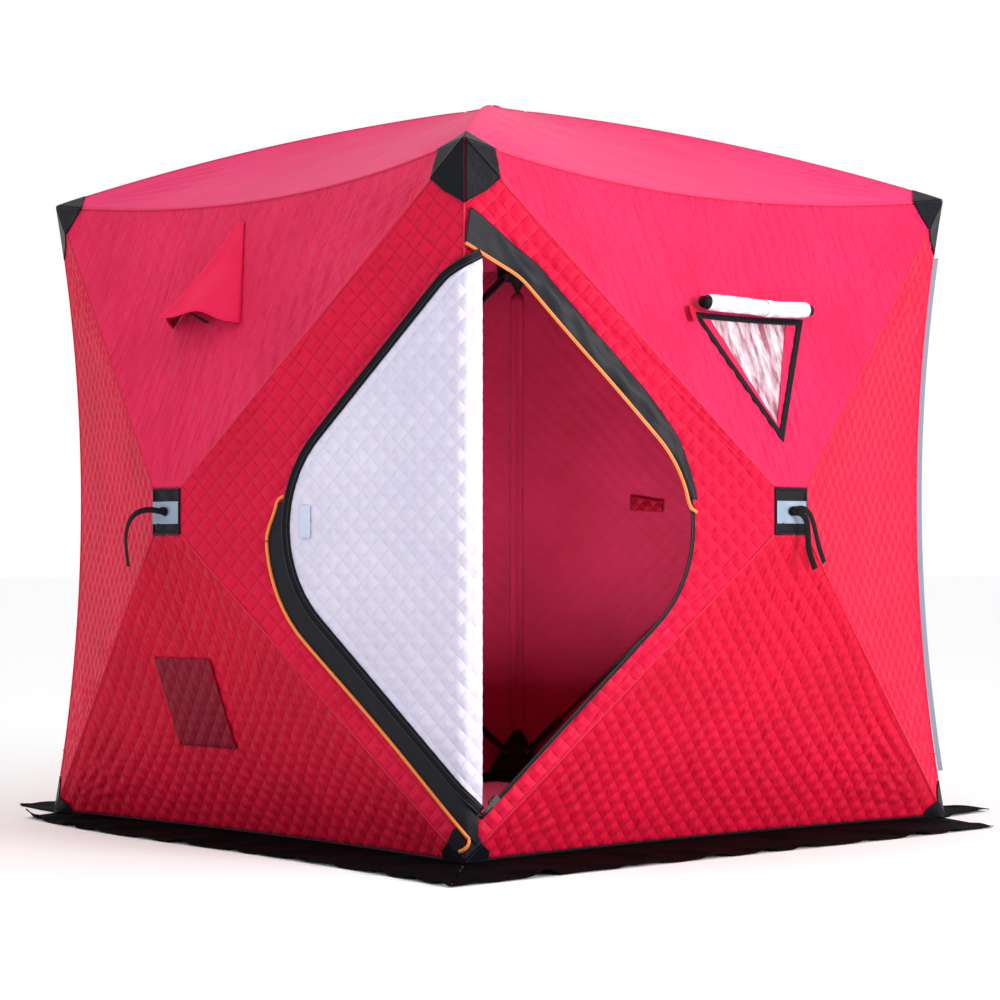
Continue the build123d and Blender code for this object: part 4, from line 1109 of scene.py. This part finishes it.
count = 60
t, w = crossed(np.linspace(0, 1, count), np.linspace(0, 1, count))
up = PANE_TOP + 0.002 - (PANE_TOP - PANE_TIP + 0.004) * w
half = (PANE_HALF + 0.003) * (1 - w) + 0.0015
s = WINDOW_S + (2 * t - 1) * half
inside_edge = smooth(np.minimum.reduce([t, 1 - t, w, 1 - w]), 0, 0.12)
ripple = folds(np.stack([s * 2.2, up], -1), 0.004, 8) * inside_edge
pane = Sheets()
pane.add(on_slope(s, up, surface_height(s, up) - 0.0022 + ripple), np.stack([s, up], -1), SLOPE_OUT, 0.0006)
window_pane = pane.make("window_film_pane", M["film"])
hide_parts("window_pane")

# The rolled-up cover: simulated as a stuffed roll, then tied.
roll_axis = np.linspace(-ROLL_HALF, ROLL_HALF, 70)
turns = np.linspace(0, 2 * math.pi, 40)
a, b = crossed(roll_axis, turns)
pinch = 1 - 0.30 * smooth(abs(a), ROLL_HALF - 0.03, ROLL_HALF) - 0.22 * np.exp(-(((a - 0.035) / 0.009) ** 2))
spiral = 1 + 0.05 * np.cos(b - 0.9) + 0.025 * np.cos(3 * b + a * 22)
radius = (ROLL_RADIUS - 0.003) * pinch * spiral
ROLL_S, ROLL_UP = WINDOW_S + 0.012, ROLL_SLOPE - 0.014
ROLL_OUT = ROLL_RADIUS + 0.012
roll_up = ROLL_UP + radius * np.cos(b) - 0.004 * np.cos(a * 9)
roll_grid = on_slope(ROLL_S + a, roll_up, ROLL_OUT + radius * np.sin(b))
verts = roll_grid[:, :-1].reshape(-1, 3)
rings, sides = len(roll_axis), len(turns) - 1
faces = [(i * sides + j, (i + 1) * sides + j, (i + 1) * sides + (j + 1) % sides, i * sides + (j + 1) % sides)
         for i in range(rings - 1) for j in range(sides)]
faces += [tuple(range(sides)), tuple((rings - 1) * sides + j for j in reversed(range(sides)))]
mesh = bpy.data.meshes.new("window_cover_roll_cloth")
mesh.from_pydata(verts.tolist(), [], faces)
mesh.polygons.foreach_set("use_smooth", np.ones(len(faces), bool))
layer = mesh.uv_layers.new(name="UVMap")
uv = np.stack([a[:, :-1], b[:, :-1] * ROLL_RADIUS], -1).reshape(-1, 2)
loops = np.zeros(len(mesh.loops), np.int32)
mesh.loops.foreach_get("vertex_index", loops)
layer.data.foreach_set("uv", uv[loops].astype(np.float32).ravel())
mesh.materials.append(M["lining"])
mesh.materials.append(M["black"])
ends = (abs(a[:, :-1]).reshape(-1) > ROLL_HALF - 0.020)
bound = [1 if all(ends[v] for v in face) else 0 for face in faces]
mesh.polygons.foreach_set("material_index", np.array(bound, np.int32))
mesh.update()
cover_roll = link(bpy.data.objects.new("window_cover_roll_cloth", mesh))


def swell(obj, pressure, cap, frames=20):
    """Inflates a closed piece with a cloth simulation, holding every point within cap of its start."""
    before = np.array([v.co for v in obj.data.vertices])
    modifier = obj.modifiers.new("cloth", "CLOTH")
    modifier.settings.use_pressure = True
    modifier.settings.uniform_pressure_force = pressure
    modifier.settings.effector_weights.gravity = 0
    modifier.settings.quality = 5
    modifier.point_cache.frame_start, modifier.point_cache.frame_end = 1, frames
    for step in range(1, frames + 1):
        bpy.context.scene.frame_set(step)
    depsgraph = bpy.context.evaluated_depsgraph_get()
    after = np.array([v.co for v in obj.evaluated_get(depsgraph).data.vertices])
    obj.modifiers.clear()
    bpy.context.scene.frame_set(1)
    move = after - before
    size = np.linalg.norm(move, axis=1, keepdims=True)
    move *= np.minimum(1, cap / np.maximum(size, 1e-9))
    obj.data.vertices.foreach_set("co", (before + move).astype(np.float32).ravel())
    obj.data.update()


swell(cover_roll, 3.0, 0.004)
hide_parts("window_cover_roll")

turn = np.linspace(0, 2 * math.pi, 50)
s, b = crossed(np.linspace(0.024, 0.046, 6), turn)
band_radius = ROLL_RADIUS * 0.83 + 0.0012
tie = Sheets()
tie_grid = on_slope(ROLL_S + s, ROLL_UP - 0.003 + band_radius * np.cos(b), ROLL_OUT + band_radius * np.sin(b))
tie.add(tie_grid, np.stack([s, b * ROLL_RADIUS], -1), SLOPE_OUT, 0.0012)
window_tie = tie.make("window_cover_tie", M["tie"])

s, up = crossed(np.linspace(WINDOW_S - 0.232, WINDOW_S - 0.178, 12), np.linspace(0.455, 0.500, 12))
lift = surface_height(s, up) + 0.003 + 0.014 * smooth(WINDOW_S - 0.195 - s, 0, 0.04)
corner_flap = Sheets()
corner_flap.add(on_slope(s, up + (s - WINDOW_S + 0.20) * 0.35, lift), np.stack([s, up], -1), SLOPE_OUT, 0.003)
window_corner = corner_flap.make("window_corner_flap", M["side"])
window_pieces = [window_border, window_pane, cover_roll, window_tie, window_corner]

# ---------------------------------------------------------------- vent hood

t, w = crossed(np.linspace(0, 1, 60), np.linspace(0, 1, 60))
half = 0.012 + (VENT_HALF - 0.012) * w
crest = 0.006 + VENT_RISE * 0.95 * w
side_share = 2 * t - 1
ridge = -0.45                               # the hood's crease runs down its left side
profile = np.where(side_share < ridge, (side_share + 1) / (1 + ridge), (1 - side_share) / (1 - ridge))
profile = np.clip(profile, 0, 1) ** 0.62
s = VENT_S + side_share * half + 0.012 * np.sin(w * 3) * profile
droop = 0.018 * np.sin(np.clip(w, 0, 1) * math.pi) * np.sin(t * math.pi)
up = VENT_APEX - (VENT_APEX - VENT_LIP - 0.010) * w + 0.018 * w * np.sin(side_share * 5.0) * profile
height = surface_height(s, up) + 0.003 + crest * profile - droop * 0.5
height += folds(np.stack([s, up], -1), 0.004, 8) * smooth(w, 0, 0.3) * np.sin(t * math.pi)
hood_grid = on_slope(s, up, height, 3)
hood = Sheets()
hood.add(hood_grid, np.stack([s, up], -1), spun(SLOPE_OUT, 3), 0.0022, (0, 1))
vent_hood = hood.make("vent_hood_cloth", M["hood"], M["dark_patch"])
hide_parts("vent_hood")
lip = tube("vent_lip", hood_grid[:, -1], 0.0028, M["hood"], 8)
vent_pieces = [vent_hood, lip]

# ---------------------------------------------------------------- small sewn-on pieces

# A darker red rectangle laid over the vent wall's bottom panel, quilted like the cloth around it.
low_x, high_x = -0.222, 0.030
x, z = crossed(np.linspace(low_x, high_x, 30), np.linspace(0.238, 0.476, 30))
share = (z - HEM_Z) / (HUB_Z - PATCH_HALF - HEM_Z)
hem_out = HALF - HEM_PULL * (1 - (x / HALF) ** 2)
out = hem_out + (HUB_OUT - hem_out) * share
patch = Sheets()
patch.add(np.stack([x, -out, z], -1), np.stack([x, z], -1), (0, -1, 0), 0.0024, lift=0.0052)
vent_dark_rectangle = patch.make("vent_wall_dark_patch", M["dark_patch"])

t, w = crossed(np.linspace(0.5177, 0.570, 8), np.linspace(0.498, 0.637, 16))
patch = Sheets()
tab_grid = spun(panel_point("side", t, w, 1), 1)
patch.add(tab_grid, np.stack([w, t], -1), spun((1, 0.3, 0), 1), 0.002, lift=-(CLOTH + 0.006))
inner_tab = patch.make("right_wall_inner_tab", M["dark_patch"])

# ---------------------------------------------------------------- facings behind eaves and corners

FACING_BACK = 0.008
FLAT_ROOF_Z = 1.7325                      # about where the roof lies once its hub is in
eave_facing, corner_facing = Sheets(), Sheets()
for wall, quarter in WALLS.items():
    t, w = crossed(np.linspace(0.05, 0.95, 60), np.linspace(0, 1, 4))
    eave_z = EAVE_Z - 4 * t * (1 - t) * EAVE_SAG
    share = np.clip((FLAT_ROOF_Z - eave_z) / (ROOF_Z - EAVE_Z), 0.004, 1) * w
    grid = panel_point("roof", t, share)
    grid[..., 2] -= 0.007
    foot = grid[:, :1] - np.array((0.003, 0, 0.055))
    grid = np.concatenate([foot, grid], axis=1)
    eave_facing.add(spun(grid, quarter), grid[..., 1:], spun((1, 0, 0.3), quarter), 0.0016)
    for side in (1, -1):
        t, w = crossed(np.linspace(0.08, 0.92, 60), np.linspace(0, 0.030, 4))
        grid = panel_point("side", t, w, side, bow_of(wall, side))
        out = spun((1, side * 0.3, 0), quarter)
        corner_facing.add(spun(grid, quarter), grid[..., 1:], out, 0.0016, lift=-FACING_BACK)
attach(eave_facing.make("eave_facings", M["inside"]), "tent")
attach(corner_facing.make("upright_corner_facings", M["inside"]), "tent")


def pole_sleeve(node):
    """A webbing sleeve over the last stretch of a pole, from the pole's own mesh."""
    points = np.array([v.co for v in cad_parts[node].data.vertices])
    centre = points.mean(axis=0)
    axis = np.linalg.svd(points - centre, full_matrices=False)[2][0]
    reach = (points - centre) @ axis
    ends = [centre + axis * reach.min(), centre + axis * reach.max()]
    tip = max(ends, key=lambda end: abs(end[0]) + abs(end[1]))
    axis = unit(ends[0] + ends[1] - 2 * tip)
    across = unit(np.cross(axis, [0, 0, 1]))
    flat = np.cross(across, axis)
    a, b = crossed(np.linspace(0.020, 0.150, 26), np.linspace(0, 2 * math.pi, 24))
    wide = 0.0175 - 0.003 * smooth(a, 0.12, 0.150) + 0.0008 * np.sin(a * 160)
    deep = (0.0078 + 0.0006 * np.sin(a * 210)) * np.sin(b)
    grid = tip + axis * a[..., None] + across * (wide * np.cos(b))[..., None] + flat * deep[..., None]
    sheet = Sheets()
    sheet.add(grid, np.stack([a, b * 0.015], -1), across, 0.0009)
    piece = sheet.make(f"{node}_sleeve", M["webbing"])
    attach(piece, f"{node}_group")


for node_name in list(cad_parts):
    if "_pole_" in node_name and not node_name.startswith("roof"):
        pole_sleeve(node_name)

pocket_cloth = Sheets()
for quarter in range(4):
    for foot in (True, False):
        z0, z1 = (0.036, 0.185) if foot else (EAVE_Z - 0.012, EAVE_Z - 0.150)
        reach = 0.130 if foot else 0.105
        back = HALF - 0.012
        apex = np.array([back - 0.004, back - 0.004, z1])
        first, second = np.array([back, back - reach, z0]), np.array([back - reach, back, z0])
        a, b = crossed(np.linspace(0, 1, 14), np.linspace(0, 1, 14))
        base = first * (1 - a[..., None]) + second * a[..., None]
        grid = base * (1 - b[..., None]) + apex * b[..., None]
        sag = 0.010 * np.sin(a * math.pi) * np.sin(b * math.pi)
        grid = grid - np.array([1, 1, 0]) * sag[..., None]
        out = spun((-1, -1, 0.3 if foot else -0.3), quarter)
        pocket_cloth.add(spun(grid, quarter), np.stack([a * 0.18, b * 0.16], -1), out, 0.0016)
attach(pocket_cloth.make("corner_pocket_cloth", M["webbing"]), "tent")

# ---------------------------------------------------------------- pull straps

# Routes in a wall hub's own terms, as in the CAD source: along the wall, up, and out from the patch.
STRAPS = {
    "vent_wall": [[
        (0, 0, 0.004), (0, 0, 0.017), (-0.026, 0.006, 0.033), (-0.060, 0.002, 0.044), (-0.092, -0.014, 0.048),
        (-0.115, -0.042, 0.047), (-0.127, -0.076, 0.042), (-0.131, -0.110, 0.036), (-0.130, -0.143, 0.031),
    ]],
    "door_wall": [
        [(-0.004, -0.004, 0.004), (-0.004, -0.004, 0.015), (0.010, -0.005, 0.027), (0.025, -0.020, 0.032),
         (0.031, -0.052, 0.031), (0.036, -0.088, 0.027), (0.049, -0.120, 0.025), (0.067, -0.148, 0.023)],
        [(0.005, 0.004, 0.004), (0.005, 0.004, 0.013), (0.022, 0.008, 0.023), (0.042, -0.004, 0.027),
         (0.058, -0.034, 0.027), (0.072, -0.068, 0.024), (0.088, -0.102, 0.021), (0.106, -0.132, 0.019)],
    ],
}
STRAP_LENGTHS = {"vent_wall": [0.250], "door_wall": [0.184, 0.192]}
STRAP_WIDTH = 0.014
for wall, routes in STRAPS.items():
    for number, (route, length) in enumerate(zip(routes, STRAP_LENGTHS[wall]), start=1):
        curve = bpy.data.curves.new(f"{wall}_strap_{number}", "CURVE")
        curve.dimensions = "3D"
        spline = curve.splines.new("NURBS")
        spline.points.add(len(route) - 1)
        for point, place in zip(spline.points, hub_point(WALLS[wall], *np.array(route).T)):
            point.co = (*place, 1.0)
        spline.order_u = 3
        spline.use_endpoint_u = True
        spline.resolution_u = 16
        curve.extrude = STRAP_WIDTH / 2
        curve.bevel_depth = 0.0007
        curve.bevel_resolution = 1
        curve.materials.append(M["webbing"])
        ribbon = link(bpy.data.objects.new(f"{wall}_strap_{number}", curve))
        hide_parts(f"{wall}_strap")
        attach(ribbon, f"{wall}_hub_group")

# ---------------------------------------------------------------- cloth pieces attached to the tent


def flatten(piece, owner):
    """A cloth of the tent, attached to the tent with a mesh of its own."""
    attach(piece, "tent")
    if owner == "roof":
        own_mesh(piece)
        return
    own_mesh(piece)


for (owner, place), piece in panels.items():
    if place != "seams":
        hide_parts(f"{owner}_panels")
    flatten(piece, owner)
sewn_on = {"door_wall": window_pieces, "vent_wall": vent_pieces + [vent_dark_rectangle], "right_wall": [inner_tab]}
for owner, pieces in sewn_on.items():
    for piece in pieces:
        flatten(piece, owner)

# ---------------------------------------------------------------- studio

floor_mesh = bpy.data.meshes.new("floor")
floor_mesh.from_pydata([(-60, -60, 0), (60, -60, 0), (60, 60, 0), (-60, 60, 0)], [], [(0, 1, 2, 3)])
floor = link(bpy.data.objects.new("floor", floor_mesh))
ground = bpy.data.materials.new("floor_pale")
ground.use_nodes = True
ground.node_tree.nodes["Principled BSDF"].inputs["Base Color"].default_value = (0.96, 0.96, 0.96, 1)
ground.node_tree.nodes["Principled BSDF"].inputs["Roughness"].default_value = 0.9
floor_mesh.materials.append(ground)


def area_light(name, place, target, size, power, colour=(1, 1, 1)):
    data = bpy.data.lights.new(name, "AREA")
    data.size, data.energy, data.color = size, power, colour
    light = link(bpy.data.objects.new(name, data))
    light.location = place
    light.rotation_euler = (Vector(target) - Vector(place)).to_track_quat("-Z", "Y").to_euler()


area_light("key", (7.2, 1.6, 1.9), (0, 0, 0.8), 3.0, 450, (1.0, 0.96, 0.95))
area_light("fill", (1.0, -7.5, 2.2), (0, 0, 0.8), 5.0, 50, (0.95, 0.95, 1.0))
area_light("through_the_cloth", (0.1, -0.1, 0.30), (0.1, -0.1, 3.0), 1.2, 42, (1.0, 0.9, 0.92))
world = bpy.data.worlds.new("studio")
world.use_nodes = True
world.node_tree.nodes["Background"].inputs["Color"].default_value = (1.0, 1.0, 1.0, 1)
world.node_tree.nodes["Background"].inputs["Strength"].default_value = 1.0
bpy.context.scene.world = world
bpy.context.scene.view_settings.view_transform = "Standard"
